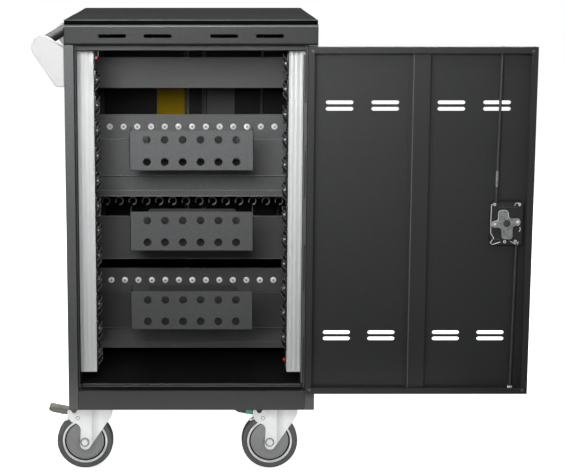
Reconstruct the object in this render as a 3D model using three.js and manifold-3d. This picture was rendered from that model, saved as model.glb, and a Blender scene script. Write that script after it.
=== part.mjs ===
// Laptop charging cart, in millimetres, +Z up, power side facing -Y.
// The group is shifted at the end so that its origin is the bottom centre of its box.
import * as THREE from 'three';
import { mergeVertices } from 'three/addons/utils/BufferGeometryUtils.js';
import Module from 'manifold-3d';

const wasm = await Module();
wasm.setup();

// Cabinet
const CABINET_WIDTH = 545;
const CABINET_DEPTH = 600;
const SHEET = 1.5;
const GAP = 0.3;
const CASTER_HEIGHT = 158;
const BASE_HEIGHT = 44;
const DOORWAY_HEIGHT = 766;
const TOP_RAIL_HEIGHT = 43;
const COVER_THICKNESS = 10;
const COVER_ROUND = 4;
const COVER_STEPS = 3;
const STILE_WIDTH = 20.5;
const REBATE_DEPTH = 27;
const STOP_WIDTH = 4;
const TOP_STOP_HEIGHT = 14;
const SILL_HEIGHT = 8;
const BASE_RETURN = 45;
const RAIL_RETURN = 30;
const RAIL_SLOT_RISE = 19;

// Vent slots, shared by the top rails and the doors
const SLOT_LENGTH = 60;
const SLOT_HEIGHT = 8;
const SLOT_NEAR_X = 71;
const SLOT_FAR_X = 169;
const SLOT_ROW_PITCH = 14;
const SLOT_ROW_FROM_EDGE = 127;
const SLOT_ARC_STEPS = 3;

// Doors
const DOOR_THICKNESS = 25;
const DOOR_RIM = 14;
const DOOR_END_CLEARANCE = 2.2;
const DOOR_FREE_CLEARANCE = 2.2;
const HINGE_FROM_STILE = 8;
const HINGE_STANDOFF = 3.5;
const DOOR_FROM_HINGE = 5.5;
const STIFFENER_WEB = 36;
const STIFFENER_FLANGE = 9;
const STIFFENER_DEPTH = 14;
const STIFFENER_END_GAP = 6;

// Hinges
const HINGE_FROM_END = 18;
const HINGE_KNUCKLES = 7;
const KNUCKLE_RADIUS = 3.2;
const PIN_RADIUS = 1.6;
const PIN_CLEARANCE = 0.35;
const LEAF_WIDTH = 19;
const LEAF_CLEARANCE = 1.2;
const HINGE_SIDES = 8;
const BAR_SIDES = 12;

// Locks
const LOCK_FROM_FREE_EDGE = 55;
const LOCK_PLATE_WIDTH = 70;
const LOCK_PLATE_HEIGHT = 98;
const LOCK_PLATE_THICKNESS = 2.5;
const CAM_ARM = 31;
const CAM_ARM_WIDTH = 16;
const CAM_THICKNESS = 3;
const CAM_DEPTH = 17.5;
const SPINDLE_RADIUS = 6;
const SPINDLE_CLEARANCE = 0.6;
const ROD_RADIUS = 3;
const ROD_DEPTH = 11;
const ROD_OFFSET = 19;
const ROD_LEAN = 5;
const ROD_CLEARANCE = 0.8;
const ROD_PROUD = 1;
const ROD_ROOM = 4;
const ROD_LAP = 11;
const HANDLE_HUB_RADIUS = 17;
const HANDLE_HUB_HEIGHT = 12;
const LEVER_LENGTH = 88;
const LEVER_WIDTH = 16;
const LEVER_HEIGHT = 11;

// Inside cross panels, shelves and dividers
const PARTITION_SETBACK = 262;
const CROSS_FLANGE = 8;
const UPPER_DECK_RISE = 408;
const LOWER_DECK_RISE = 42;
const BACKSTOP_HEIGHT = 179;
const DECK_SKIRT = 15;
const DECK_FRONT_SETBACK = 40;
const CARRIER_ABOVE_DECK = 122;
const CARRIER_HEIGHT = 87;
const MIDDLE_CARRIER_HEIGHT = 102;
const TOP_PANEL_HEIGHT = 71;
const TOP_PANEL_DROP = 46;
const DIVIDER_COUNT = 13;
const DIVIDER_PITCH = 32;
const DIVIDER_THICKNESS = 6;
const DIVIDER_HEIGHT = 120;
const DIVIDER_SETBACK = 30;
const RACK_BASE = 2;
const DIVIDER_ROUND = 40;
const DIVIDER_STEPS = 5;
const SCREW_HEIGHT = 150;
const SCREW_RADIUS = 6.5;
const SCREW_EDGE = 2;
const SCREW_CROWN_RADIUS = 4.5;
const SCREW_CROWN = 4;
const SCREW_DOME = 4.8;
const SCREW_SIDES = 8;
const CLIP_RADIUS = 10;
const CLIP_WALL = 2.5;
const CLIP_WIDTH = 8;
const CLIP_DROP = 40;
const CLIP_SETBACK = 350;
const CLIP_STEPS = 6;
const CLIP_MOUTH = 1.1;

// Baskets
const BASKET_WIDTH = 277;
const BASKET_HEIGHT = 90;
const BASKET_SETBACK = 106;
const BASKET_RISE = 38;
const BASKET_WING = 58;
const BASKET_BACK_WIDTH = 206;
const BASKET_BACK_RISE = 18;
const BASKET_HOOK_WIDTH = 24;
const BASKET_COLUMNS = 6;
const BASKET_ROWS = 2;
const BASKET_COLUMN_PITCH = 40;
const BASKET_ROW_PITCH = 50;
const BASKET_HOLE_RADIUS = 9;
const BASKET_HOLE_SIDES = 10;

// Power strips
const PDU_WIDTH = 36;
const PDU_DEPTH = 50;
const PDU_SETBACK = 62;
const PDU_STANDOFF = 21;
const PDU_BOTTOM_GAP = 26;
const PDU_TOP_GAP = 10;
const PDU_GROOVE = 1.2;
const PDU_GROOVE_INSET = 6;
const OUTLET_COUNT = 12;
const OUTLET_END_ROOM = 110.7;
const OUTLET_RADIUS = 23.5;
const OUTLET_FACE_RADIUS = 21;
const OUTLET_HEIGHT = 13;
const OUTLET_SHOULDER = 7.8;
const OUTLET_SIDES = 12;
const OUTLET_SHIFT = 18;
const OUTLET_STRIP = 30;
const SWITCH_FROM_END = 24;
const SWITCH_LENGTH = 20;
const SWITCH_WIDTH = 14;
const SWITCH_PROUD = 5;
const SWITCH_SINK = 6;
const SWITCH_HEEL = 5;
const SWITCH_ROOM = 2.4;
const SWITCH_CLEARANCE = 0.8;
const SWITCH_TILT = 0.12;

// Handle on the left side
const HANDLE_REACH = 47;
const HANDLE_DROP = 48.5;
const HANDLE_TUBE_RADIUS = 12.5;
const HANDLE_TUBE_RISE = 8;
const HANDLE_NOSE_RADIUS = 23.5;
const HANDLE_NOSE_START = 61;
const HANDLE_NOSE_END = 214;
const HANDLE_NOSE_STEPS = 8;
const HANDLE_BRACKET_THICKNESS = 32;
const HANDLE_BRACKET_SETBACK = 8;
const HANDLE_WALL_TOP = 2;
const HANDLE_WALL_FOOT = 85.5;
const HANDLE_FOOT_WIDTH = 22;
const HANDLE_FOOT_CUT = 6;
const HANDLE_SIDES = 20;
const HANDLE_SOCKET = 16;

// Casters
const CASTER_FROM_SIDE = 62.5;
const CASTER_FROM_FACE = 80;
const CASTER_TRAIL = 33;
const PLATE_WIDTH = 80;
const PLATE_DEPTH = 72;
const PLATE_THICKNESS = 4;
const BEARING_RADIUS = 24;
const BEARING_HEIGHT = 8;
const CROWN_RADIUS = 30;
const CROWN_THICKNESS = 4;
const WHEEL_HEADROOM = 31;
const TYRE_THICKNESS = 11.5;
const TYRE_WIDTH = 32;
const TYRE_ROUND = 5;
const HUB_WIDTH = 26;
const HUB_DISH = 5;
const RIM_LIP = 5;
const HUB_BOSS_RADIUS = 13;
const WHEEL_SIDES = 24;
const ROUND_SIDES = 16;
const FORK_LEG = 3;
const FORK_SIDE_CLEARANCE = 1;
const FORK_FOOT_RADIUS = 12;
const FORK_FOOT_START = 180;
const FORK_FOOT_END = 324;
const FORK_FOOT_STEPS = 6;
const FORK_HEEL = 12;
const FORK_BULGE = 16.8;
const FORK_HEEL_DROP = 19.2;
const FORK_WAIST = 9.6;
const FORK_WAIST_DROP = 28.8;
const FORK_TOE_DROP = 12;
const AXLE_RADIUS = 5;
const AXLE_HEAD_RADIUS = 8.5;
const AXLE_HEAD_HEIGHT = 5;
const AXLE_HEAD_SIDES = 6;
const AXLE_CLEARANCE = 0.35;
const PEDAL_PIVOT_X = -52;
const PEDAL_PIVOT_DROP = 14;
const PEDAL_PIN_RADIUS = 2.6;
const PEDAL_PIN_CLEARANCE = 0.35;
const PEDAL_LENGTH = 62;
const PEDAL_THICKNESS = 11;
const PEDAL_HEEL = 3.3;
const PEDAL_TIP_RISE = 9;
const PEDAL_SIDE_CLEARANCE = 0.7;

const ROUGHNESS = 0.6;
const WELD = 1e-4;
const QUARTER_TURN = Math.PI / 2;

// Levels and positions that follow from the sizes above
const HALF_WIDTH = CABINET_WIDTH / 2;
const HALF_DEPTH = CABINET_DEPTH / 2;
const DOORWAY_BOTTOM = CASTER_HEIGHT + BASE_HEIGHT;
const DOORWAY_TOP = DOORWAY_BOTTOM + DOORWAY_HEIGHT;
const BODY_TOP = DOORWAY_TOP + TOP_RAIL_HEIGHT;
const DOORWAY_HALF = HALF_WIDTH - STILE_WIDTH;
const UPPER_DECK = DOORWAY_BOTTOM + UPPER_DECK_RISE;
const LOWER_DECK = DOORWAY_BOTTOM + LOWER_DECK_RISE;
const HANDLE_LEVEL = BODY_TOP - HANDLE_DROP;
const INNER_HALF = HALF_WIDTH - SHEET - GAP;
const DOOR_BOTTOM = DOORWAY_BOTTOM + DOOR_END_CLEARANCE;
const DOOR_TOP = DOORWAY_TOP - DOOR_END_CLEARANCE;
const HINGE_X = DOORWAY_HALF - HINGE_FROM_STILE;
const DOOR_HINGE_EDGE = HINGE_X - DOOR_FROM_HINGE;
const DOOR_FREE_EDGE = -DOORWAY_HALF + DOOR_FREE_CLEARANCE;
const LOCK_X = DOOR_FREE_EDGE + LOCK_FROM_FREE_EDGE;
const LOCK_Z = (DOOR_BOTTOM + DOOR_TOP) / 2;
const UPPER_ROD_X = LOCK_X + ROD_OFFSET;
const LOWER_ROD_X = LOCK_X - ROD_OFFSET;
const BACKSTOP_SETBACK = PARTITION_SETBACK + CROSS_FLANGE + GAP;
const PDU_BOTTOM = DOORWAY_BOTTOM + PDU_BOTTOM_GAP;
const PDU_TOP = DOORWAY_TOP - PDU_TOP_GAP;
const PDU_MIDDLE = (PDU_BOTTOM + PDU_TOP) / 2;
const OUTLET_PITCH = (PDU_TOP - PDU_BOTTOM - OUTLET_END_ROOM) / (OUTLET_COUNT - 1);
const PDU_OUTER_X = INNER_HALF - PDU_STANDOFF;
const PDU_INNER_X = PDU_OUTER_X - PDU_WIDTH;
const WHEEL_RADIUS = (CASTER_HEIGHT - WHEEL_HEADROOM) / 2;
const AXLE_Z = WHEEL_RADIUS;
const CROWN_TOP = CASTER_HEIGHT - GAP - PLATE_THICKNESS - BEARING_HEIGHT - GAP;
const CROWN_BOTTOM = CROWN_TOP - CROWN_THICKNESS;
const FORK_INNER = TYRE_WIDTH / 2 + FORK_SIDE_CLEARANCE;
const CASTER_X = HALF_WIDTH - CASTER_FROM_SIDE;
const CASTER_Y = HALF_DEPTH - CASTER_FROM_FACE;

const COLOURS = {
  coat: 0x515355,
  cover: 0x3f4042,
  zinc: 0xd6d8da,
  aluminium: 0xdfe1e2,
  white: 0xf2f2f0,
  black: 0x1b1c1d,
  red: 0xc0241c,
  tyre: 0x5b5d5f,
  hub: 0x85888a,
  pedal: 0x5a5b4c,
};

function radians(degrees) {
  return (degrees * Math.PI) / 180;
}

// Distance behind the power-side face of the cabinet
function behind(depth) {
  return -HALF_DEPTH + depth;
}

// Solid from a geometry, turned right side out
function solidOf(geometry) {
  const bare = geometry.clone();
  bare.deleteAttribute('normal');
  bare.deleteAttribute('uv');
  const welded = mergeVertices(bare, WELD);
  const points = Float32Array.from(welded.attributes.position.array);
  const corners = Uint32Array.from(welded.index.array);
  if (signedVolume(points, corners) < 0) {
    corners.reverse();
  }
  const mesh = new wasm.Mesh({ numProp: 3, vertProperties: points, triVerts: corners });
  return new wasm.Manifold(mesh);
}

function signedVolume(points, corners) {
  const a = new THREE.Vector3();
  const b = new THREE.Vector3();
  const c = new THREE.Vector3();
  let total = 0;
  for (let i = 0; i < corners.length; i += 3) {
    a.fromArray(points, corners[i] * 3);
    b.fromArray(points, corners[i + 1] * 3);
    c.fromArray(points, corners[i + 2] * 3);
    total += a.dot(b.cross(c));
  }
  return total;
}

function geometryOf(solid) {
  const mesh = solid.getMesh();
  const geometry = new THREE.BufferGeometry();
  geometry.setAttribute('position', new THREE.BufferAttribute(mesh.vertProperties, 3));
  geometry.setIndex(new THREE.BufferAttribute(mesh.triVerts, 1));
  return geometry;
}

function join(solids) {
  return solids.reduce((whole, piece) => whole.add(piece));
}

function cut(solid, tools) {
  return tools.reduce((whole, tool) => whole.subtract(tool), solid);
}

// Box between two corners
function block(x0, x1, y0, y1, z0, z1) {
  const box = new THREE.BoxGeometry(x1 - x0, y1 - y0, z1 - z0);
  box.translate((x0 + x1) / 2, (y0 + y1) / 2, (z0 + z1) / 2);
  return solidOf(box);
}

function extrude(points, length) {
  const shape = new THREE.Shape(points.map(([u, v]) => new THREE.Vector2(u, v)));
  return new THREE.ExtrudeGeometry(shape, { depth: length, bevelEnabled: false });
}

// Outline in x and y, drawn out along z
function prismZ(points, z0, z1) {
  const geometry = extrude(points, z1 - z0);
  geometry.translate(0, 0, z0);
  return solidOf(geometry);
}

// Outline in y and z, drawn out along x
function prismX(points, x0, x1) {
  const geometry = extrude(points, x1 - x0);
  const along = new THREE.Matrix4().makeBasis(
    new THREE.Vector3(0, 1, 0),
    new THREE.Vector3(0, 0, 1),
    new THREE.Vector3(1, 0, 0),
  );
  geometry.applyMatrix4(along);
  geometry.translate(x0, 0, 0);
  return solidOf(geometry);
}

// Outline in x and z, drawn out along y
function prismY(points, y0, y1) {
  const geometry = extrude(points, y1 - y0);
  const along = new THREE.Matrix4().makeBasis(
    new THREE.Vector3(1, 0, 0),
    new THREE.Vector3(0, 0, 1),
    new THREE.Vector3(0, -1, 0),
  );
  geometry.applyMatrix4(along);
  geometry.translate(0, y1, 0);
  return solidOf(geometry);
}

// Outline of a folded sheet whose metal lies to the left of the given path
function foldedSheet(path, thickness = SHEET) {
  const back = path.map((point, i) => {
    const before = path[Math.max(i - 1, 0)];
    const after = path[Math.min(i + 1, path.length - 1)];
    const into = leftOf(before, i === 0 ? after : point);
    const out = leftOf(i === path.length - 1 ? before : point, after);
    const stretch = thickness / (1 + into[0] * out[0] + into[1] * out[1]);
    return [point[0] + (into[0] + out[0]) * stretch, point[1] + (into[1] + out[1]) * stretch];
  });
  return [...path, ...back.reverse()];
}

function leftOf(from, to) {
  const run = [to[0] - from[0], to[1] - from[1]];
  const length = Math.hypot(run[0], run[1]);
  return [-run[1] / length, run[0] / length];
}

function arc(cx, cy, radius, from, to, steps) {
  return Array.from({ length: steps + 1 }, (_, i) => {
    const angle = from + ((to - from) * i) / steps;
    return [cx + radius * Math.cos(angle), cy + radius * Math.sin(angle)];
  });
}

// Round bars along each direction
function barZ(x, y, z0, z1, radius, sides) {
  const bar = new THREE.CylinderGeometry(radius, radius, z1 - z0, sides);
  bar.rotateX(QUARTER_TURN);
  bar.translate(x, y, (z0 + z1) / 2);
  return solidOf(bar);
}

function barY(x, z, y0, y1, radius, sides) {
  const bar = new THREE.CylinderGeometry(radius, radius, y1 - y0, sides);
  bar.translate(x, (y0 + y1) / 2, z);
  return solidOf(bar);
}

// Round bar between two points in one upright plane
function barBetween(x0, z0, x1, z1, y, radius, sides) {
  const length = Math.hypot(x1 - x0, z1 - z0);
  const bar = new THREE.CylinderGeometry(radius, radius, length, sides);
  bar.rotateX(QUARTER_TURN);
  bar.rotateY(Math.atan2(x1 - x0, z1 - z0));
  bar.translate((x0 + x1) / 2, y, (z0 + z1) / 2);
  return solidOf(bar);
}

function mirrored(points, side) {
  return points.map(([u, v]) => [u * side, v]);
}

// Round-ended vent slot through a face that looks along y
function ventSlot(x, z, y0, y1) {
  const radius = SLOT_HEIGHT / 2;
  const reach = SLOT_LENGTH / 2 - radius;
  const right = arc(x + reach, z, radius, -QUARTER_TURN, QUARTER_TURN, SLOT_ARC_STEPS);
  const left = arc(x - reach, z, radius, QUARTER_TURN, 3 * QUARTER_TURN, SLOT_ARC_STEPS);
  return prismY([...right, ...left], y0, y1);
}

function ventRow(z, y0, y1) {
  const centres = [-SLOT_FAR_X, -SLOT_NEAR_X, SLOT_NEAR_X, SLOT_FAR_X];
  return centres.map((x) => ventSlot(x, z, y0, y1));
}

// Side wall with its stiles and door stops folded from it and the power strip's channel welded on
function sidePanel(side) {
  const path = [
    [DOORWAY_HALF - STOP_WIDTH, behind(REBATE_DEPTH)],
    [DOORWAY_HALF, behind(REBATE_DEPTH)],
    [DOORWAY_HALF, -HALF_DEPTH],
    [HALF_WIDTH, -HALF_DEPTH],
    [HALF_WIDTH, HALF_DEPTH],
    [DOORWAY_HALF, HALF_DEPTH],
    [DOORWAY_HALF, -behind(REBATE_DEPTH)],
    [DOORWAY_HALF - STOP_WIDTH, -behind(REBATE_DEPTH)],
  ];
  const wall = prismZ(mirrored(foldedSheet(path), side), CASTER_HEIGHT, DOORWAY_TOP - GAP);
  const inner = side * (DOORWAY_HALF - STOP_WIDTH - SHEET);
  const outer = side * DOORWAY_HALF;
  const notch = block(
    Math.min(inner, outer), Math.max(inner, outer), -HALF_DEPTH - SHEET, HALF_DEPTH + SHEET,
    CASTER_HEIGHT - SHEET, DOORWAY_BOTTOM + GAP,
  );
  const ends = [side * (HALF_WIDTH - SHEET), side * HALF_WIDTH];
  const upper = block(
    Math.min(...ends), Math.max(...ends), behind(RAIL_RETURN + GAP), -behind(RAIL_RETURN + GAP),
    DOORWAY_TOP - SHEET, BODY_TOP,
  );
  return join([wall.subtract(notch), upper, pduUpright(side)]);
}

// Top rail of the power side with vent slots, a door stop and the lock rod's hole
function topRail() {
  const path = [
    [behind(RAIL_RETURN), BODY_TOP],
    [-HALF_DEPTH, BODY_TOP],
    [-HALF_DEPTH, DOORWAY_TOP],
    [behind(RAIL_RETURN), DOORWAY_TOP],
  ];
  const rail = prismX(foldedSheet(path), -HALF_WIDTH, HALF_WIDTH);
  const stopHalf = DOORWAY_HALF - STOP_WIDTH - GAP;
  const stopNear = behind(REBATE_DEPTH);
  const stop = block(
    -stopHalf, stopHalf, stopNear, stopNear + SHEET,
    DOORWAY_TOP - TOP_STOP_HEIGHT, DOORWAY_TOP + SHEET,
  );
  const slots = ventRow(DOORWAY_TOP + RAIL_SLOT_RISE, -HALF_DEPTH - SHEET, -HALF_DEPTH + SHEET * 2);
  const hole = barZ(
    UPPER_ROD_X, behind(ROD_DEPTH), DOORWAY_TOP - SHEET, DOORWAY_TOP + SHEET * 2,
    ROD_RADIUS + ROD_ROOM, BAR_SIDES,
  );
  const ends = [-HALF_WIDTH, HALF_WIDTH - SHEET].map((x) => block(
    x, x + SHEET, -HALF_DEPTH, behind(RAIL_RETURN), DOORWAY_TOP, BODY_TOP,
  ));
  return cut(join([rail, stop, ...ends]), [...slots, hole]);
}

// Base pan whose two faces are the bottom rails, with rod holes and the caster plates welded below
function baseTray() {
  const path = [
    [behind(BASE_RETURN), DOORWAY_BOTTOM],
    [-HALF_DEPTH, DOORWAY_BOTTOM],
    [-HALF_DEPTH, CASTER_HEIGHT],
    [HALF_DEPTH, CASTER_HEIGHT],
    [HALF_DEPTH, DOORWAY_BOTTOM],
    [-behind(BASE_RETURN), DOORWAY_BOTTOM],
  ];
  const half = DOORWAY_HALF - GAP;
  const tray = prismX(foldedSheet(path), -half, half);
  const holes = [-1, 1].map((face) => barZ(
    -face * LOWER_ROD_X, face * -behind(ROD_DEPTH), DOORWAY_BOTTOM - SHEET * 2, DOORWAY_BOTTOM + SHEET,
    ROD_RADIUS + ROD_ROOM, BAR_SIDES,
  ));
  const corners = [[-1, -1], [1, -1], [-1, 1], [1, 1]];
  const plates = corners.map(([sx, sy]) => casterPlate(sx * CASTER_X, sy * CASTER_Y));
  const inset = REBATE_DEPTH + SHEET + GAP;
  const underside = block(
    -INNER_HALF, INNER_HALF, behind(inset), -behind(inset), CASTER_HEIGHT, CASTER_HEIGHT + SHEET,
  );
  return join([cut(tray, holes), underside, ...plates]);
}

// Floor with a low sill folded up behind each door
function floorPanel() {
  const near = behind(REBATE_DEPTH + SHEET + GAP);
  const path = [
    [near, DOORWAY_BOTTOM + SILL_HEIGHT],
    [near, DOORWAY_BOTTOM + GAP],
    [-near, DOORWAY_BOTTOM + GAP],
    [-near, DOORWAY_BOTTOM + SILL_HEIGHT],
  ];
  return prismX(foldedSheet(path), -INNER_HALF, INNER_HALF);
}

// Lid with rounded upper edges
function topCover() {
  const bottom = BODY_TOP + GAP;
  const top = bottom + COVER_THICKNESS;
  const end = (half) => [
    [-half, bottom],
    [half, bottom],
    ...arc(half - COVER_ROUND, top - COVER_ROUND, COVER_ROUND, 0, QUARTER_TURN, COVER_STEPS),
    ...arc(-half + COVER_ROUND, top - COVER_ROUND, COVER_ROUND, QUARTER_TURN, 2 * QUARTER_TURN, COVER_STEPS),
  ];
  const across = prismX(end(HALF_DEPTH), -HALF_WIDTH, HALF_WIDTH);
  const along = prismY(end(HALF_WIDTH), -HALF_DEPTH, HALF_DEPTH);
  return across.intersect(along);
}

// Cross panel with its long edges folded back
function crossPanel(bottom, top) {
  const face = behind(PARTITION_SETBACK);
  const path = [
    [face + CROSS_FLANGE, top],
    [face, top],
    [face, bottom],
    [face + CROSS_FLANGE, bottom],
  ];
  return prismX(foldedSheet(path), -INNER_HALF, INNER_HALF);
}

// Device deck with its back stop, front fold and the divider screws' heads
function shelf(deck) {
  const face = behind(BACKSTOP_SETBACK);
  const front = -behind(DECK_FRONT_SETBACK);
  const path = [
    [face, deck + BACKSTOP_HEIGHT],
    [face, deck],
    [front, deck],
    [front, deck - DECK_SKIRT],
  ];
  const body = prismX(foldedSheet(path), -INNER_HALF, INNER_HALF);
  const skirt = block(-INNER_HALF, INNER_HALF, face, face + SHEET, deck - DECK_SKIRT, deck + SHEET);
  return join([body, skirt, ...dividerPlaces().map((x) => dividerScrew(x, deck))]);
}

function dividerPlaces() {
  const middle = (DIVIDER_COUNT - 1) / 2;
  return Array.from({ length: DIVIDER_COUNT }, (_, i) => (i - middle) * DIVIDER_PITCH);
}

// Moulded rack: upright dividers on one thin base
function dividerRack(deck) {
  const back = behind(BACKSTOP_SETBACK) + SHEET + GAP;
  const front = -behind(DECK_FRONT_SETBACK) - DIVIDER_SETBACK;
  const foot = deck + SHEET + GAP;
  const half = (DIVIDER_COUNT / 2) * DIVIDER_PITCH;
  const base = block(-half, half, back, front, foot, foot + RACK_BASE);
  return join([base, ...dividerPlaces().map((x) => divider(x, deck))]);
}

function divider(x, deck) {
  const back = behind(BACKSTOP_SETBACK) + SHEET + GAP;
  const front = -behind(DECK_FRONT_SETBACK) - DIVIDER_SETBACK;
  const foot = deck + SHEET + GAP;
  const top = foot + DIVIDER_HEIGHT;
  const nose = arc(
    front - DIVIDER_ROUND, top - DIVIDER_ROUND, DIVIDER_ROUND, 0, QUARTER_TURN, DIVIDER_STEPS,
  );
  const outline = [[back, foot], [front, foot], ...nose, [back, top]];
  return prismX(outline, x - DIVIDER_THICKNESS / 2, x + DIVIDER_THICKNESS / 2);
}

// Domed screw head on the power side of a back stop
function dividerScrew(x, deck) {
  const profile = [
    [0, 0],
    [SCREW_RADIUS, 0],
    [SCREW_RADIUS, -SCREW_EDGE],
    [SCREW_CROWN_RADIUS, -SCREW_CROWN],
    [0, -SCREW_DOME],
  ];
  const head = new THREE.LatheGeometry(profile.map(([r, h]) => new THREE.Vector2(r, h)), SCREW_SIDES);
  head.translate(x, behind(BACKSTOP_SETBACK) + SHEET / 2, deck + SCREW_HEIGHT);
  return solidOf(head);
}

// Clip strip under the upper deck: one row of open rings on a flat rail
function clipRail() {
  const near = behind(CLIP_SETBACK);
  const top = UPPER_DECK - GAP;
  const half = ((DIVIDER_COUNT + 1) / 2) * DIVIDER_PITCH;
  const rail = block(-half, half, near, near + CLIP_WIDTH, top - CLIP_WALL, top);
  const starts = [dividerPlaces()[0] - DIVIDER_PITCH, ...dividerPlaces()];
  const places = starts.map((x) => x + DIVIDER_PITCH / 2);
  return join([rail, ...places.map(cableClip)]);
}

function cableClip(x) {
  const level = UPPER_DECK - CLIP_DROP;
  const near = behind(CLIP_SETBACK);
  const from = -QUARTER_TURN - CLIP_MOUTH;
  const to = from - 4 * QUARTER_TURN + CLIP_MOUTH;
  const ring = [
    ...arc(x, level, CLIP_RADIUS, from, to, CLIP_STEPS),
    ...arc(x, level, CLIP_RADIUS - CLIP_WALL, to, from, CLIP_STEPS),
  ];
  const stem = block(
    x - CLIP_WALL, x + CLIP_WALL, near, near + CLIP_WIDTH,
    level + CLIP_RADIUS - CLIP_WALL / 2, UPPER_DECK - GAP,
  );
  return prismY(ring, near, near + CLIP_WIDTH).add(stem);
}

// Perforated basket hung over the top edge of a carrier
function basket(carrierTop) {
  const half = BASKET_WIDTH / 2;
  const front = behind(BASKET_SETBACK);
  const back = behind(PARTITION_SETBACK) - GAP;
  const top = carrierTop + BASKET_RISE;
  const bottom = top - BASKET_HEIGHT;
  const backHalf = BASKET_BACK_WIDTH / 2;
  const hookLevel = carrierTop + GAP;
  const hookEnd = back + GAP + CROSS_FLANGE;
  const hookPlaces = [-1, 0, 1].map((i) => i * (backHalf - BASKET_HOOK_WIDTH));
  const plates = [
    block(-half, half, front, front + SHEET, bottom, top),
    block(-half, half, front, back, bottom, bottom + SHEET),
    block(-half, -half + SHEET, front, front + BASKET_WING, bottom, top),
    block(half - SHEET, half, front, front + BASKET_WING, bottom, top),
    block(-backHalf, backHalf, back - SHEET, back, bottom, carrierTop + BASKET_BACK_RISE),
    ...hookPlaces.map((x) => block(
      x - BASKET_HOOK_WIDTH / 2, x + BASKET_HOOK_WIDTH / 2,
      back - SHEET, hookEnd, hookLevel, hookLevel + SHEET,
    )),
  ];
  return cut(join(plates), basketHoles(front, (top + bottom) / 2));
}

function basketHoles(front, level) {
  const holes = [];
  for (let row = 0; row < BASKET_ROWS; row += 1) {
    for (let column = 0; column < BASKET_COLUMNS; column += 1) {
      const x = (column - (BASKET_COLUMNS - 1) / 2) * BASKET_COLUMN_PITCH;
      const z = level + (row - (BASKET_ROWS - 1) / 2) * BASKET_ROW_PITCH;
      holes.push(barY(x, z, front - SHEET, front + SHEET * 2, BASKET_HOLE_RADIUS, BASKET_HOLE_SIDES));
    }
  }
  return holes;
}

// Channel that stands a power strip off the side wall
function pduUpright(side) {
  const near = behind(PDU_SETBACK);
  const far = near + PDU_DEPTH;
  const root = HALF_WIDTH - SHEET / 2;
  const path = [
    [root, near],
    [PDU_OUTER_X + GAP, near],
    [PDU_OUTER_X + GAP, far],
    [root, far],
  ];
  const outline = foldedSheet([...path].reverse());
  return prismZ(mirrored(outline, side), DOORWAY_BOTTOM + GAP + SHEET + GAP, PDU_TOP);
}

// Power strip of the left side, about its own middle height
function pduBody() {
  const near = behind(PDU_SETBACK);
  const far = near + PDU_DEPTH;
  const half = (PDU_TOP - PDU_BOTTOM) / 2;
  const groove = PDU_GROOVE_INSET;
  const outline = [
    [-PDU_OUTER_X, near],
    [-PDU_OUTER_X + groove, near],
    [-PDU_OUTER_X + groove, near + PDU_GROOVE],
    [-PDU_OUTER_X + groove + PDU_GROOVE, near + PDU_GROOVE],
    [-PDU_OUTER_X + groove + PDU_GROOVE, near],
    [-PDU_INNER_X - groove - PDU_GROOVE, near],
    [-PDU_INNER_X - groove - PDU_GROOVE, near + PDU_GROOVE],
    [-PDU_INNER_X - groove, near + PDU_GROOVE],
    [-PDU_INNER_X - groove, near],
    [-PDU_INNER_X, near],
    [-PDU_INNER_X, far],
    [-PDU_OUTER_X, far],
  ];
  return prismZ(outline, -half, half).subtract(switchPocket(half));
}

function switchPocket(half) {
  const level = half - SWITCH_FROM_END;
  const middle = behind(PDU_SETBACK) + PDU_DEPTH / 2;
  const tall = SWITCH_LENGTH / 2 + SWITCH_CLEARANCE;
  const wide = SWITCH_WIDTH / 2 + SWITCH_CLEARANCE;
  return block(
    -PDU_INNER_X - SWITCH_SINK - SWITCH_ROOM, -PDU_INNER_X + SHEET,
    middle - wide, middle + wide, level - tall, level + tall,
  );
}

// Rocker of the left power strip, about the strip's middle height
function rockerSwitch() {
  const half = (PDU_TOP - PDU_BOTTOM) / 2;
  const level = half - SWITCH_FROM_END;
  const middle = behind(PDU_SETBACK) + PDU_DEPTH / 2;
  const reach = SWITCH_LENGTH / 2;
  const low = SWITCH_PROUD - 2 * reach * SWITCH_TILT;
  const outline = [
    [-PDU_INNER_X - SWITCH_SINK, level - SWITCH_HEEL],
    [-PDU_INNER_X, level - reach],
    [-PDU_INNER_X + low, level - reach],
    [-PDU_INNER_X + low, level],
    [-PDU_INNER_X + SWITCH_PROUD, level + reach],
    [-PDU_INNER_X, level + reach],
    [-PDU_INNER_X - SWITCH_SINK, level + SWITCH_HEEL],
  ];
  return prismY(outline, middle - SWITCH_WIDTH / 2, middle + SWITCH_WIDTH / 2);
}

// Bank of sockets on the inner face of one power strip
function outletBank(side) {
  const middle = behind(PDU_SETBACK) + PDU_DEPTH / 2;
  const face = side * (PDU_INNER_X - GAP);
  const inner = side * (PDU_INNER_X - GAP - SHEET);
  const rises = Array.from({ length: OUTLET_COUNT }, (_, i) => outletRise(side, i));
  const strip = block(
    Math.min(face, inner), Math.max(face, inner),
    middle - OUTLET_STRIP / 2, middle + OUTLET_STRIP / 2,
    Math.min(...rises), Math.max(...rises),
  );
  return join([strip, ...rises.map((rise) => outlet(side, rise))]);
}

function outletRise(side, index) {
  const rise = (index - (OUTLET_COUNT - 1) / 2) * OUTLET_PITCH - OUTLET_SHIFT;
  return PDU_MIDDLE - side * rise;
}

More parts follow.
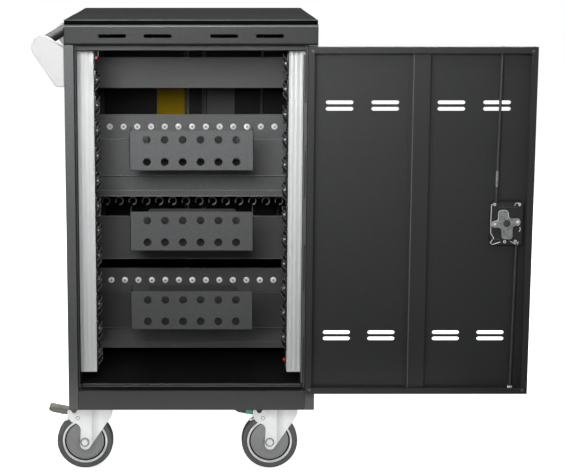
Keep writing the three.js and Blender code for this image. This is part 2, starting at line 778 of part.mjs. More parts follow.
// Round socket module
function outlet(side, level) {
  const profile = [
    [0, 0],
    [OUTLET_RADIUS, 0],
    [OUTLET_RADIUS, OUTLET_SHOULDER],
    [OUTLET_FACE_RADIUS, OUTLET_HEIGHT],
    [0, OUTLET_HEIGHT],
  ];
  const body = new THREE.LatheGeometry(profile.map(([r, h]) => new THREE.Vector2(r, h)), OUTLET_SIDES);
  body.rotateZ(side * QUARTER_TURN);
  body.translate(side * (PDU_INNER_X - GAP), behind(PDU_SETBACK) + PDU_DEPTH / 2, level);
  return solidOf(body);
}

// Door pan, with its stiffener welded in, in its closed place on the power side
function doorPanel() {
  const near = -HALF_DEPTH;
  const far = near + DOOR_THICKNESS;
  const inner = (x0, x1, y0, y1, inset) => block(
    x0 + inset, x1 - inset, y0, y1, DOOR_BOTTOM + inset, DOOR_TOP - inset,
  );
  const pan = block(DOOR_FREE_EDGE, DOOR_HINGE_EDGE, near, far, DOOR_BOTTOM, DOOR_TOP);
  const hollow = inner(DOOR_FREE_EDGE, DOOR_HINGE_EDGE, near + SHEET, far - SHEET, SHEET);
  const mouth = inner(DOOR_FREE_EDGE, DOOR_HINGE_EDGE, far - SHEET * 2, far + SHEET, DOOR_RIM);
  const upperRow = DOOR_TOP - SLOT_ROW_FROM_EDGE;
  const lowerRow = DOOR_BOTTOM + SLOT_ROW_FROM_EDGE;
  const half = SLOT_ROW_PITCH / 2;
  const levels = [upperRow + half, upperRow - half, lowerRow + half, lowerRow - half];
  const slots = levels.flatMap((z) => ventRow(z, near - SHEET, near + SHEET * 2));
  const depth = behind(ROD_DEPTH);
  const bore = ROD_RADIUS + ROD_CLEARANCE;
  const holes = [
    barZ(UPPER_ROD_X, depth, DOOR_TOP - SHEET * 2, DOOR_TOP + SHEET, bore, BAR_SIDES),
    barZ(LOWER_ROD_X, depth, DOOR_BOTTOM - SHEET, DOOR_BOTTOM + SHEET * 2, bore, BAR_SIDES),
    barY(LOCK_X, LOCK_Z, near - SHEET, near + SHEET * 2, SPINDLE_RADIUS + SPINDLE_CLEARANCE, BAR_SIDES),
  ];
  return cut(pan, [hollow, mouth, ...slots, ...holes]).add(doorStiffener());
}

// Hat-section stiffener inside the door pan
function doorStiffener() {
  const skin = behind(SHEET / 2);
  const rise = behind(STIFFENER_DEPTH);
  const centre = (DOOR_FREE_EDGE + DOOR_HINGE_EDGE) / 2;
  const web = STIFFENER_WEB / 2;
  const foot = web + STIFFENER_FLANGE;
  const path = [
    [centre + foot, skin + SHEET],
    [centre + web, skin + SHEET],
    [centre + web, rise],
    [centre - web, rise],
    [centre - web, skin + SHEET],
    [centre - foot, skin + SHEET],
  ];
  const inset = SHEET + STIFFENER_END_GAP;
  return prismZ(foldedSheet(path), DOOR_BOTTOM + inset, DOOR_TOP - inset);
}

// Ends of the knuckles of a continuous hinge; every second one belongs to the door
function hingeSpans(first) {
  const low = DOOR_BOTTOM + HINGE_FROM_END;
  const pitch = (DOOR_TOP - HINGE_FROM_END - low) / HINGE_KNUCKLES;
  const spans = [];
  for (let i = first; i < HINGE_KNUCKLES; i += 2) {
    spans.push([low + i * pitch, low + (i + 1) * pitch]);
  }
  return spans;
}

// Door half of the hinge: leaf and every second knuckle, bored for the pin
function doorHinge() {
  const axis = behind(-HINGE_STANDOFF);
  const near = -HALF_DEPTH - GAP - SHEET;
  const edge = HINGE_X - KNUCKLE_RADIUS - LEAF_CLEARANCE;
  const low = DOOR_BOTTOM + HINGE_FROM_END;
  const high = DOOR_TOP - HINGE_FROM_END;
  const pieces = [block(edge - LEAF_WIDTH, edge, near, near + SHEET, low, high)];
  for (const [foot, top] of hingeSpans(1)) {
    pieces.push(barZ(HINGE_X, axis, foot + GAP, top - GAP, KNUCKLE_RADIUS, HINGE_SIDES));
    pieces.push(block(edge - SHEET, HINGE_X, near, near + SHEET, foot + GAP, top - GAP));
  }
  return join(pieces).subtract(barZ(HINGE_X, axis, low, high, PIN_RADIUS + PIN_CLEARANCE, HINGE_SIDES));
}

// Frame half of the hinge: leaf, the other knuckles and the pin
function frameHinge() {
  const axis = behind(-HINGE_STANDOFF);
  const near = -HALF_DEPTH - GAP - SHEET;
  const edge = HINGE_X + KNUCKLE_RADIUS + LEAF_CLEARANCE;
  const low = DOOR_BOTTOM + HINGE_FROM_END;
  const high = DOOR_TOP - HINGE_FROM_END;
  const pieces = [
    block(edge, edge + LEAF_WIDTH, near, near + SHEET, low, high),
    barZ(HINGE_X, axis, low, high, PIN_RADIUS, HINGE_SIDES),
  ];
  for (const [foot, top] of hingeSpans(0)) {
    pieces.push(barZ(HINGE_X, axis, foot, top, KNUCKLE_RADIUS, HINGE_SIDES));
    pieces.push(block(HINGE_X, edge + SHEET, near, near + SHEET, foot, top));
  }
  return join(pieces);
}

// Lock pieces in the door's closed place
function lockPlate() {
  const near = behind(SHEET + GAP);
  const plate = block(
    LOCK_X - LOCK_PLATE_WIDTH / 2, LOCK_X + LOCK_PLATE_WIDTH / 2, near, near + LOCK_PLATE_THICKNESS,
    LOCK_Z - LOCK_PLATE_HEIGHT / 2, LOCK_Z + LOCK_PLATE_HEIGHT / 2,
  );
  const hole = barY(
    LOCK_X, LOCK_Z, near - SHEET, near + LOCK_PLATE_THICKNESS + SHEET,
    SPINDLE_RADIUS + SPINDLE_CLEARANCE, BAR_SIDES,
  );
  return plate.subtract(hole);
}

function lockCam() {
  const near = behind(CAM_DEPTH);
  const far = near + CAM_THICKNESS;
  const half = CAM_ARM_WIDTH / 2;
  const pieces = [
    block(LOCK_X - CAM_ARM, LOCK_X + CAM_ARM, near, far, LOCK_Z - half, LOCK_Z + half),
    block(LOCK_X - half, LOCK_X + half, near, far, LOCK_Z - CAM_ARM, LOCK_Z + CAM_ARM),
    barY(LOCK_X, LOCK_Z, -HALF_DEPTH - GAP, far + SHEET, SPINDLE_RADIUS, BAR_SIDES),
  ];
  return join(pieces);
}

function lockHandle() {
  const base = -HALF_DEPTH - GAP * 2;
  const top = base - HANDLE_HUB_HEIGHT;
  const lever = block(
    LOCK_X - LEVER_LENGTH / 2, LOCK_X + LEVER_LENGTH / 2, top - LEVER_HEIGHT, top,
    LOCK_Z - LEVER_WIDTH / 2, LOCK_Z + LEVER_WIDTH / 2,
  );
  return lever.add(barY(LOCK_X, LOCK_Z, top - SHEET, base, HANDLE_HUB_RADIUS, ROUND_SIDES));
}

function lockRod(x, end, tip) {
  const foot = LOCK_Z - end * ROD_LAP;
  const lean = end * ROD_LEAN;
  return barBetween(x + lean, foot, x, tip, behind(ROD_DEPTH), ROD_RADIUS, BAR_SIDES);
}

// Moulded end bracket of the side handle
function handleBracket(near) {
  const wall = -HALF_WIDTH - GAP;
  const x = -HALF_WIDTH - HANDLE_REACH;
  const foot = HANDLE_LEVEL - HANDLE_WALL_FOOT;
  const start = radians(HANDLE_NOSE_START);
  const nose = arc(x, HANDLE_LEVEL, HANDLE_NOSE_RADIUS, start, radians(HANDLE_NOSE_END), HANDLE_NOSE_STEPS);
  const outline = [
    [wall, HANDLE_LEVEL - HANDLE_WALL_TOP],
    ...nose,
    [wall - HANDLE_FOOT_WIDTH, foot + HANDLE_FOOT_CUT],
    [wall - HANDLE_FOOT_WIDTH + HANDLE_FOOT_CUT, foot],
    [wall, foot],
  ];
  return prismY(outline, near, near + HANDLE_BRACKET_THICKNESS);
}

function handlePieces() {
  const x = -HALF_WIDTH - HANDLE_REACH;
  const near = behind(HANDLE_BRACKET_SETBACK);
  const end = near + HANDLE_BRACKET_THICKNESS - HANDLE_SOCKET;
  const level = HANDLE_LEVEL + HANDLE_TUBE_RISE;
  const tube = barY(x, level, end + GAP, -end - GAP, HANDLE_TUBE_RADIUS, HANDLE_SIDES);
  const socket = barY(x, level, end, -end, HANDLE_TUBE_RADIUS + GAP, HANDLE_SIDES);
  const places = [near, -near - HANDLE_BRACKET_THICKNESS];
  const brackets = places.map((y) => handleBracket(y).subtract(socket));
  return { tube, brackets };
}

// Mounting plate and swivel bearing of one caster
function casterPlate(x, y) {
  const top = CASTER_HEIGHT + SHEET / 2;
  const foot = CASTER_HEIGHT - GAP - PLATE_THICKNESS;
  const plate = block(
    x - PLATE_WIDTH / 2, x + PLATE_WIDTH / 2, y - PLATE_DEPTH / 2, y + PLATE_DEPTH / 2, foot, top,
  );
  return plate.add(barZ(x, y, foot - BEARING_HEIGHT, foot + SHEET, BEARING_RADIUS, ROUND_SIDES));
}

// Caster pieces about the kingpin, with the floor at zero height
function forkLeg(near) {
  const shoulder = CROWN_BOTTOM;
  const axle = -CASTER_TRAIL;
  const start = radians(FORK_FOOT_START);
  const foot = arc(axle, AXLE_Z, FORK_FOOT_RADIUS, start, radians(FORK_FOOT_END), FORK_FOOT_STEPS);
  const outline = [
    [CROWN_RADIUS, CROWN_TOP],
    [PEDAL_PIVOT_X - FORK_HEEL, CROWN_TOP],
    [PEDAL_PIVOT_X - FORK_BULGE, shoulder],
    [PEDAL_PIVOT_X - FORK_HEEL, shoulder - FORK_HEEL_DROP],
    [axle - FORK_WAIST, shoulder - FORK_WAIST_DROP],
    ...foot,
    [CROWN_RADIUS, shoulder - FORK_TOE_DROP],
  ];
  return prismY(outline, near, near + FORK_LEG);
}

function casterFork(braked) {
  const outer = FORK_INNER + FORK_LEG;
  const end = outer + AXLE_HEAD_HEIGHT;
  const crown = block(
    PEDAL_PIVOT_X + FORK_HEEL, CROWN_RADIUS, -outer, outer, CROWN_BOTTOM, CROWN_TOP,
  );
  const pieces = [
    crown,
    barZ(0, 0, CROWN_BOTTOM, CROWN_TOP, CROWN_RADIUS, ROUND_SIDES),
    forkLeg(-outer),
    forkLeg(FORK_INNER),
    barY(-CASTER_TRAIL, AXLE_Z, -end, end, AXLE_RADIUS, BAR_SIDES),
    barY(-CASTER_TRAIL, AXLE_Z, -end, -outer + SHEET, AXLE_HEAD_RADIUS, AXLE_HEAD_SIDES),
    barY(-CASTER_TRAIL, AXLE_Z, outer - SHEET, end, AXLE_HEAD_RADIUS, AXLE_HEAD_SIDES),
  ];
  const fork = join(pieces);
  if (!braked) {
    return fork;
  }
  const bore = PEDAL_PIN_RADIUS + PEDAL_PIN_CLEARANCE;
  return fork.subtract(barY(PEDAL_PIVOT_X, CROWN_TOP - PEDAL_PIVOT_DROP, -end, end, bore, BAR_SIDES));
}

// Ring or wheel turned about the axle, with a flat side down
function turnedAboutAxle(profile) {
  const closed = [...profile, profile[0]].map(([r, h]) => new THREE.Vector2(r, h));
  const ring = new THREE.LatheGeometry(closed, WHEEL_SIDES, Math.PI / WHEEL_SIDES);
  ring.translate(-CASTER_TRAIL, 0, AXLE_Z);
  return solidOf(ring);
}

function casterHub() {
  const bore = AXLE_RADIUS + AXLE_CLEARANCE;
  const rim = WHEEL_RADIUS - TYRE_THICKNESS - GAP;
  const half = HUB_WIDTH / 2;
  const boss = FORK_INNER - GAP * 2;
  const sideProfile = [
    [bore, boss],
    [HUB_BOSS_RADIUS, boss],
    [HUB_BOSS_RADIUS + HUB_DISH, half - HUB_DISH],
    [rim - RIM_LIP, half - HUB_DISH],
    [rim, half],
  ];
  const otherSide = sideProfile.map(([r, h]) => [r, -h]).reverse();
  return turnedAboutAxle([...sideProfile, ...otherSide]);
}

function casterTyre() {
  const inner = WHEEL_RADIUS - TYRE_THICKNESS;
  const flatRadius = WHEEL_RADIUS / Math.cos(Math.PI / WHEEL_SIDES);
  const half = TYRE_WIDTH / 2;
  return turnedAboutAxle([
    [inner, -HUB_WIDTH / 2],
    [flatRadius - TYRE_ROUND, -half],
    [flatRadius, -half + TYRE_ROUND],
    [flatRadius, half - TYRE_ROUND],
    [flatRadius - TYRE_ROUND, half],
    [inner, HUB_WIDTH / 2],
  ]);
}

function brakePedal() {
  const level = CROWN_TOP - PEDAL_PIVOT_DROP;
  const half = FORK_INNER - PEDAL_SIDE_CLEARANCE;
  const reach = PEDAL_PIVOT_X - PEDAL_LENGTH;
  const thick = PEDAL_THICKNESS / 2;
  const outline = [
    [PEDAL_PIVOT_X + thick, level - PEDAL_HEEL],
    [PEDAL_PIVOT_X + thick, level + thick],
    [PEDAL_PIVOT_X - thick, level + thick],
    [reach + thick, level + thick + PEDAL_TIP_RISE],
    [reach, level + PEDAL_TIP_RISE],
    [reach + thick, level - thick],
    [PEDAL_PIVOT_X - thick, level - thick],
  ];
  const pin = FORK_INNER + FORK_LEG;
  const pivot = barY(PEDAL_PIVOT_X, level, -pin, pin, PEDAL_PIN_RADIUS, BAR_SIDES);
  return prismY(outline, -half, half).add(pivot);
}

// Named meshes and the groups that place them
function addMesh(parent, name, solid, colour) {
  const material = new THREE.MeshStandardMaterial({ color: colour, roughness: ROUGHNESS, flatShading: true });
  const mesh = new THREE.Mesh(geometryOf(solid), material);
  mesh.name = name;
  parent.add(mesh);
}

function placedGroup(parent, x, y, z) {
  const group = new THREE.Group();
  group.position.set(x, y, z);
  parent.add(group);
  return group;
}

function addDoor(parent, face) {
  addMesh(parent, `${face}_door_panel`, doorPanel(), COLOURS.coat);
  addMesh(parent, `${face}_door_hinge`, doorHinge(), COLOURS.coat);
  addMesh(parent, `${face}_lock_plate`, lockPlate(), COLOURS.black);
  addMesh(parent, `${face}_lock_cam`, lockCam(), COLOURS.zinc);
  addMesh(parent, `${face}_lock_handle`, lockHandle(), COLOURS.black);
  addMesh(parent, `${face}_upper_rod`, lockRod(UPPER_ROD_X, 1, DOOR_TOP + ROD_PROUD), COLOURS.zinc);
  addMesh(parent, `${face}_lower_rod`, lockRod(LOWER_ROD_X, -1, DOOR_BOTTOM - ROD_PROUD), COLOURS.zinc);
}

function addCaster(root, name, x, y, braked) {
  const place = placedGroup(root, x, y, 0);
  addMesh(place, `${name}_caster_fork`, casterFork(braked), COLOURS.zinc);
  addMesh(place, `${name}_caster_hub`, casterHub(), COLOURS.hub);
  addMesh(place, `${name}_caster_tyre`, casterTyre(), COLOURS.tyre);
  if (braked) {
    addMesh(place, `${name}_brake_pedal`, brakePedal(), COLOURS.pedal);
  }
}

function addCabinet(root) {
  addMesh(root, 'base_tray', baseTray(), COLOURS.coat);
  addMesh(root, 'floor_panel', floorPanel(), COLOURS.coat);
  addMesh(root, 'left_side_panel', sidePanel(-1), COLOURS.coat);
  addMesh(root, 'right_side_panel', sidePanel(1), COLOURS.coat);
  addMesh(root, 'rear_top_rail', topRail(), COLOURS.coat);
  addMesh(root, 'top_cover', topCover(), COLOURS.cover);
  const { tube, brackets } = handlePieces();
  addMesh(root, 'handle_tube', tube, COLOURS.black);
  addMesh(root, 'handle_rear_bracket', brackets[0], COLOURS.white);
  addMesh(root, 'handle_front_bracket', brackets[1], COLOURS.white);
}

function addInside(root) {
  const upperTop = UPPER_DECK + CARRIER_ABOVE_DECK;
  const lowerTop = LOWER_DECK + CARRIER_ABOVE_DECK;
  const middleTop = (upperTop + lowerTop) / 2;
  const panelTop = DOORWAY_TOP - TOP_PANEL_DROP;
  addMesh(root, 'upper_shelf', shelf(UPPER_DECK), COLOURS.coat);
  addMesh(root, 'lower_shelf', shelf(LOWER_DECK), COLOURS.coat);
  addMesh(root, 'upper_divider_rack', dividerRack(UPPER_DECK), COLOURS.black);
  addMesh(root, 'lower_divider_rack', dividerRack(LOWER_DECK), COLOURS.black);
  addMesh(root, 'top_cross_panel', crossPanel(panelTop - TOP_PANEL_HEIGHT, panelTop), COLOURS.coat);
  addMesh(root, 'upper_carrier', crossPanel(upperTop - CARRIER_HEIGHT, upperTop), COLOURS.coat);
  addMesh(root, 'middle_carrier', crossPanel(middleTop - MIDDLE_CARRIER_HEIGHT, middleTop), COLOURS.coat);
  addMesh(root, 'lower_carrier', crossPanel(lowerTop - CARRIER_HEIGHT, lowerTop), COLOURS.coat);
  addMesh(root, 'upper_basket', basket(upperTop), COLOURS.coat);
  addMesh(root, 'middle_basket', basket(middleTop), COLOURS.coat);
  addMesh(root, 'lower_basket', basket(lowerTop), COLOURS.coat);
  addMesh(root, 'cable_clip_strip', clipRail(), COLOURS.black);
}

function addPower(root) {
  const left = placedGroup(root, 0, 0, PDU_MIDDLE);
  const right = placedGroup(root, 0, 0, PDU_MIDDLE);
  right.rotation.y = Math.PI;
  addMesh(left, 'left_pdu', pduBody(), COLOURS.aluminium);
  addMesh(left, 'left_rocker_switch', rockerSwitch(), COLOURS.red);
  addMesh(right, 'right_pdu', pduBody(), COLOURS.aluminium);
  addMesh(right, 'right_rocker_switch', rockerSwitch(), COLOURS.red);
  addMesh(root, 'left_outlet_bank', outletBank(-1), COLOURS.black);
  addMesh(root, 'right_outlet_bank', outletBank(1), COLOURS.black);
}

function addDoors(root) {
  const rearFrame = placedGroup(root, 0, 0, 0);
  const frontFrame = placedGroup(root, 0, 0, 0);
  frontFrame.rotation.z = Math.PI;
  addMesh(rearFrame, 'rear_frame_hinge', frameHinge(), COLOURS.coat);
  addMesh(frontFrame, 'front_frame_hinge', frameHinge(), COLOURS.coat);
  addMesh(frontFrame, 'front_top_rail', topRail(), COLOURS.coat);
  const swing = placedGroup(root, HINGE_X, behind(-HINGE_STANDOFF), 0);
  swing.rotation.z = Math.PI;
  addDoor(placedGroup(swing, -HINGE_X, -behind(-HINGE_STANDOFF), 0), 'rear');
  addDoor(frontFrame, 'front');
}

function addCasters(root) {
  const places = [
    ['rear_left', -1, -1, true],
    ['rear_right', 1, -1, true],
    ['front_left', -1, 1, false],
    ['front_right', 1, 1, false],
  ];
  for (const [name, sx, sy, braked] of places) {
    addCaster(root, name, sx * CASTER_X, sy * CASTER_Y, braked);
  }
}

function buildCart() {
  const cart = new THREE.Group();
  cart.name = 'laptop_charging_cart';
  const body = new THREE.Group();
  cart.add(body);
  addCabinet(body);
  addInside(body);
  addPower(body);
  addDoors(body);
  addCasters(body);
  cart.updateMatrixWorld(true);
  const box = new THREE.Box3().setFromObject(cart, true);
  const centre = box.getCenter(new THREE.Vector3());
  body.position.set(-centre.x, -centre.y, -box.min.z);
  return cart;
}

export default buildCart();
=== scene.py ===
"""Looks of the laptop charging cart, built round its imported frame.

Pieces are drawn in millimetres from the middle of the cabinet, with the floor at zero and
the power side facing -Y. Doors are drawn closed on the power side. A place matrix then takes
each drawing to its own face of the cabinet, or to the opened door.
"""
import math

import bmesh
import bpy
from mathutils import Matrix, Vector


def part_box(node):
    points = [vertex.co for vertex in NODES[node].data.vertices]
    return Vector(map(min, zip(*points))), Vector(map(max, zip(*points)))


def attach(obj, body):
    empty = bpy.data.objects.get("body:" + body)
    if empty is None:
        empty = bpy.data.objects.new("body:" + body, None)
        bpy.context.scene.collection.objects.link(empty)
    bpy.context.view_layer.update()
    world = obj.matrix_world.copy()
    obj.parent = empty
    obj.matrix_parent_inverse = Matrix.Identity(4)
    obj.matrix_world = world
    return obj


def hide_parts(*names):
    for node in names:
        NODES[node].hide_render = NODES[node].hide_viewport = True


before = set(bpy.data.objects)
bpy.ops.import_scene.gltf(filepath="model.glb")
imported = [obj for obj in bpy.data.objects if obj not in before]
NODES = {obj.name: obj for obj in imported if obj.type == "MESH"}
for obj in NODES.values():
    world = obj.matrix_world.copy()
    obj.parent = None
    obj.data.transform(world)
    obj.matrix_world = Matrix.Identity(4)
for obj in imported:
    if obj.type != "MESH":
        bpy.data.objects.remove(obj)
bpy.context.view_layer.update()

LID_LOW, LID_HIGH = (Vector(corner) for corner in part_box("top_cover"))
MIDDLE = Vector(((LID_LOW.x + LID_HIGH.x) / 2, (LID_LOW.y + LID_HIGH.y) / 2, 0))
MILLIMETRE = 0.001
TO_METRES = Matrix.Scale(MILLIMETRE, 4)
TO_FRAME = Matrix.Translation(MIDDLE) @ TO_METRES

# Sizes that the frame already has
HALF_WIDTH = 272.5
HALF_DEPTH = 300
SHEET = 1.5
GAP = 0.3
DOORWAY_HALF = 252
DOORWAY_BOTTOM = 202
DOORWAY_TOP = 968
BODY_TOP = 1011
LID_BOTTOM = 1011.3
LID_TOP = 1021.3
DOOR_BOTTOM = 204.2
DOOR_TOP = 965.8
DOOR_INSIDE = -298.3
RIM_MIDDLE = 9
HINGE_X = 244
HINGE_Y = -303.5
LOCK_X = -194.8
LOCK_Z = 585
STIFFENER_X = -5.1
ROD_Y = -289
UPPER_ROD_X = -175.8
LOWER_ROD_X = -213.8
VENT_X = (-169, -71, 71, 169)
CARRIER_TOPS = {"upper": 732, "middle": 549, "lower": 366}
SHELF_TOPS = {"upper": 610, "lower": 244}
PDU_BOTTOM = 228
PDU_TOP = 958
AXLE_Z = 63.5
CORNERS = {
    "rear_left": (-210, -220),
    "rear_right": (210, -220),
    "front_left": (-210, 220),
    "front_right": (210, 220),
}

HALF_TURN = Matrix.Rotation(math.pi, 4, "Z")
OPENED = (
    Matrix.Translation((HINGE_X, HINGE_Y, 0))
    @ HALF_TURN
    @ Matrix.Translation((-HINGE_X, -HINGE_Y, 0))
)
FACES = {"rear": Matrix.Identity(4), "front": HALF_TURN}
DOORS = {"rear": OPENED, "front": HALF_TURN}


# Outlines

def rectangle(u0, u1, v0, v1):
    """Four corners in order."""
    return [(u0, v0), (u1, v0), (u1, v1), (u0, v1)]


def arc(cx, cy, radius, start, end, steps):
    """Points along an arc from one angle to another, in degrees."""
    turns = [math.radians(start + (end - start) * i / steps) for i in range(steps + 1)]
    return [(cx + radius * math.cos(t), cy + radius * math.sin(t)) for t in turns]


def circle(cx, cy, radius, steps=24):
    """Points all round, without the first one twice."""
    return arc(cx, cy, radius, 0, 360 - 360 / steps, steps - 1)


def rounded_box(x0, x1, y0, y1, radius, steps=5):
    """Rectangle with round corners."""
    return (
        arc(x1 - radius, y0 + radius, radius, -90, 0, steps)
        + arc(x1 - radius, y1 - radius, radius, 0, 90, steps)
        + arc(x0 + radius, y1 - radius, radius, 90, 180, steps)
        + arc(x0 + radius, y0 + radius, radius, 180, 270, steps)
    )


def pad(cx, cy, halves, radius, steps=5):
    """Rounded rectangle about a middle, from half its length and half its height."""
    x, y = halves
    return rounded_box(cx - x, cx + x, cy - y, cy + y, radius, steps)


def slot_outline(cx, cy, length, height, steps=8):
    """Slot with round ends, lying along the first axis."""
    reach = (length - height) / 2
    right = arc(cx + reach, cy, height / 2, -90, 90, steps)
    return right + arc(cx - reach, cy, height / 2, 90, 270, steps)


def span(a, b):
    """Two limits, the lower one first."""
    return min(a, b), max(a, b)


def facing(side, profile):
    """Turned profile that faces along its axis or against it."""
    return [(radius, side * height) for radius, height in profile]


# Solids

def placed(axis, u, v, w):
    """Point from two coordinates across an axis and one along it."""
    return {"x": (w, u, v), "y": (u, w, v), "z": (u, v, w)}[axis]


def plate(bm, outline, axis, low, high, holes=()):
    """Sheet with holes, its outline in the two other axes."""
    loops = [outline, *holes]
    lows = [[bm.verts.new(placed(axis, u, v, low)) for u, v in loop] for loop in loops]
    highs = [[bm.verts.new(placed(axis, u, v, high)) for u, v in loop] for loop in loops]
    other = {a: b for la, lb in zip(lows, highs) for a, b in zip(la, lb)}
    if len(loops) == 1:
        bm.faces.new(lows[0])
        bm.faces.new(highs[0][::-1])
    else:
        edges = [
            bm.edges.new((loop[i - 1], loop[i])) for loop in lows for i in range(len(loop))
        ]
        made = bmesh.ops.triangle_fill(bm, use_beauty=True, edges=edges)["geom"]
        for face in [g for g in made if isinstance(g, bmesh.types.BMFace)]:
            bm.faces.new([other[v] for v in reversed(face.verts)])
    for loop in lows:
        for i in range(len(loop)):
            a, b = loop[i - 1], loop[i]
            bm.faces.new((a, b, other[b], other[a]))


def box(bm, x0, x1, y0, y1, z0, z1):
    """Block between six limits."""
    plate(bm, rectangle(x0, x1, y0, y1), "z", z0, z1)


def lathe(bm, profile, centre, axis, steps=48, closed=False):
    """Turned solid: profile of radius and height along the axis through the centre."""
    rings = []
    for radius, height in profile:
        count = steps if radius > 1e-6 else 1
        turns = [2 * math.pi * i / steps for i in range(count)]
        spots = [
            placed(axis, radius * math.cos(t), radius * math.sin(t), height) for t in turns
        ]
        rings.append([bm.verts.new(Vector(centre) + Vector(s)) for s in spots])
    pairs = list(zip(rings, rings[1:])) + ([(rings[-1], rings[0])] if closed else [])
    for one, two in pairs:
        for i in range(steps):
            j = (i + 1) % steps
            corners = [
                one[i % len(one)], one[j % len(one)], two[j % len(two)], two[i % len(two)],
            ]
            distinct = list(dict.fromkeys(corners))
            if len(distinct) > 2:
                bm.faces.new(distinct)


def drum(bm, radius, low, high, centre, axis, steps=48):
    """Plain cylinder between two heights along its axis."""
    lathe(bm, [(0, low), (radius, low), (radius, high), (0, high)], centre, axis, steps)


def tube(bm, path, radius, sides=14):
    """Round bar along a path, closed at both ends."""
    points = [Vector(p) for p in path]
    turns = [2 * math.pi * k / sides for k in range(sides)]
    rings = []
    normal = None
    for i, point in enumerate(points):
        ahead = (points[min(i + 1, len(points) - 1)] - points[max(i - 1, 0)]).normalized()
        if normal is None:
            normal = ahead.orthogonal().normalized()
        normal = (normal - ahead * normal.dot(ahead)).normalized()
        across = ahead.cross(normal)
        spokes = [normal * math.cos(t) + across * math.sin(t) for t in turns]
        rings.append([bm.verts.new(point + spoke * radius) for spoke in spokes])
    for one, two in zip(rings, rings[1:]):
        for k in range(sides):
            bm.faces.new((one[k - 1], one[k], two[k], two[k - 1]))
    bm.faces.new(rings[0])
    bm.faces.new(rings[-1][::-1])


def add(name, data):
    """Puts an object in the scene."""
    made = bpy.data.objects.new(name, data)
    bpy.context.scene.collection.objects.link(made)
    return made


def piece(
    name, bm, skin, body="cabinet", place=None, stands_for=(), bevel=0.0, segments=2, sharp=35
):
    """Turns a drawing into a named piece that rides on a body."""
    bmesh.ops.recalc_face_normals(bm, faces=bm.faces)
    bm.transform(TO_FRAME @ (place or Matrix.Identity(4)))
    mesh = bpy.data.meshes.new(name)
    bm.to_mesh(mesh)
    bm.free()
    mesh.shade_smooth()
    mesh.set_sharp_from_angle(angle=math.radians(sharp))
    mesh.materials.append(skin)
    made = add(name, mesh)
    if bevel:
        round_edges(made, bevel, segments)
    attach(made, body)
    if stands_for:
        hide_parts(*stands_for)
    return made


BEVEL_ANGLE = 40


def round_edges(made, width, segments=2):
    """Bevels the sharp edges of an object by a width in millimetres."""
    rounding = made.modifiers.new("edges", "BEVEL")
    rounding.width = width * MILLIMETRE
    rounding.segments = segments
    rounding.limit_method = "ANGLE"
    rounding.angle_limit = math.radians(BEVEL_ANGLE)
    rounding.harden_normals = True


# Materials

FULL = (1, 1, 1, 1)
NOISE_LIMITS = (0.3, 0.7)


def tone(base, factor):
    """Lighter or darker shade of a colour."""
    return (*(min(max(c * factor, 0.0), 1.0) for c in base), 1.0)


def put(node, **values):
    """Sets sockets of a node; an underscore stands for a space in their names."""
    for name, value in values.items():
        node.inputs[name.replace("_", " ")].default_value = value


def noise(tree, vector, scale, detail):
    """Noise over a vector, as a factor."""
    made = tree.nodes.new("ShaderNodeTexNoise")
    put(made, Scale=scale, Detail=detail)
    tree.links.new(vector, made.inputs["Vector"])
    return made.outputs["Fac"]


def ramp(tree, factor, positions, colours):
    """Two colours along a factor."""
    made = tree.nodes.new("ShaderNodeValToRGB")
    for element, position, colour in zip(made.color_ramp.elements, positions, colours):
        element.position = position
        element.color = colour
    tree.links.new(factor, made.inputs["Fac"])
    return made.outputs["Color"]


def surface(
    name, base, roughness, metallic=0.0, spread=0.1, grain=700.0, stretch=(1, 1, 1), bump=0.1,
    depth=0.0002, patches=5.0, patch_spread=0.08, rough_spread=0.08, shade_band=None, **sockets
):
    """Procedural material: fine grain with a bump, broad patches and a varied roughness.

    A shade band paints shade along the piece's own X, darkest at its low end, in place of the
    patches.
    """
    made = bpy.data.materials.new(name)
    made.use_nodes = True
    tree = made.node_tree
    new, link = tree.nodes.new, tree.links.new
    shader = tree.nodes["Principled BSDF"]
    put(shader, Metallic=metallic, **sockets)
    where = new("ShaderNodeTexCoord")
    mapping = new("ShaderNodeMapping")
    put(mapping, Scale=stretch)
    link(where.outputs["Object"], mapping.inputs["Vector"])
    fine = noise(tree, mapping.outputs["Vector"], grain, 3.0)
    broad = noise(tree, where.outputs["Object"], patches, 4.0)
    limits, shade = NOISE_LIMITS, broad
    speckle = ramp(tree, fine, limits, (tone(base, 1 - spread), tone(base, 1 + spread)))
    if shade_band:
        along = new("ShaderNodeSeparateXYZ")
        link(where.outputs["Generated"], along.inputs["Vector"])
        limits, shade = shade_band, along.outputs["X"]
    wash = ramp(tree, shade, limits, (tone((1, 1, 1), 1 - patch_spread), FULL))
    mix = new("ShaderNodeMix")
    mix.data_type = "RGBA"
    mix.blend_type = "MULTIPLY"
    put(mix, Factor=1.0)
    link(speckle, mix.inputs["A"])
    link(wash, mix.inputs["B"])
    link(mix.outputs["Result"], shader.inputs["Base Color"])
    dull = new("ShaderNodeMapRange")
    low, high = max(roughness - rough_spread, 0.03), min(roughness + rough_spread, 1.0)
    put(dull, To_Min=low, To_Max=high)
    link(broad, dull.inputs["Value"])
    link(dull.outputs["Result"], shader.inputs["Roughness"])
    relief = new("ShaderNodeBump")
    put(relief, Strength=bump, Distance=depth)
    link(fine, relief.inputs["Height"])
    link(relief.outputs["Normal"], shader.inputs["Normal"])
    return made


COAT_GRAIN = {"spread": 0.2, "grain": 420, "bump": 0.35}
COAT_GREEN, COAT_BLUE = 1.02, 1.05


def coat(name, shade, roughness=0.5, **more):
    """Textured powder coat of a given darkness, slightly cool."""
    base = (shade, shade * COAT_GREEN, shade * COAT_BLUE)
    return surface(name, base, roughness, **COAT_GRAIN, **more)


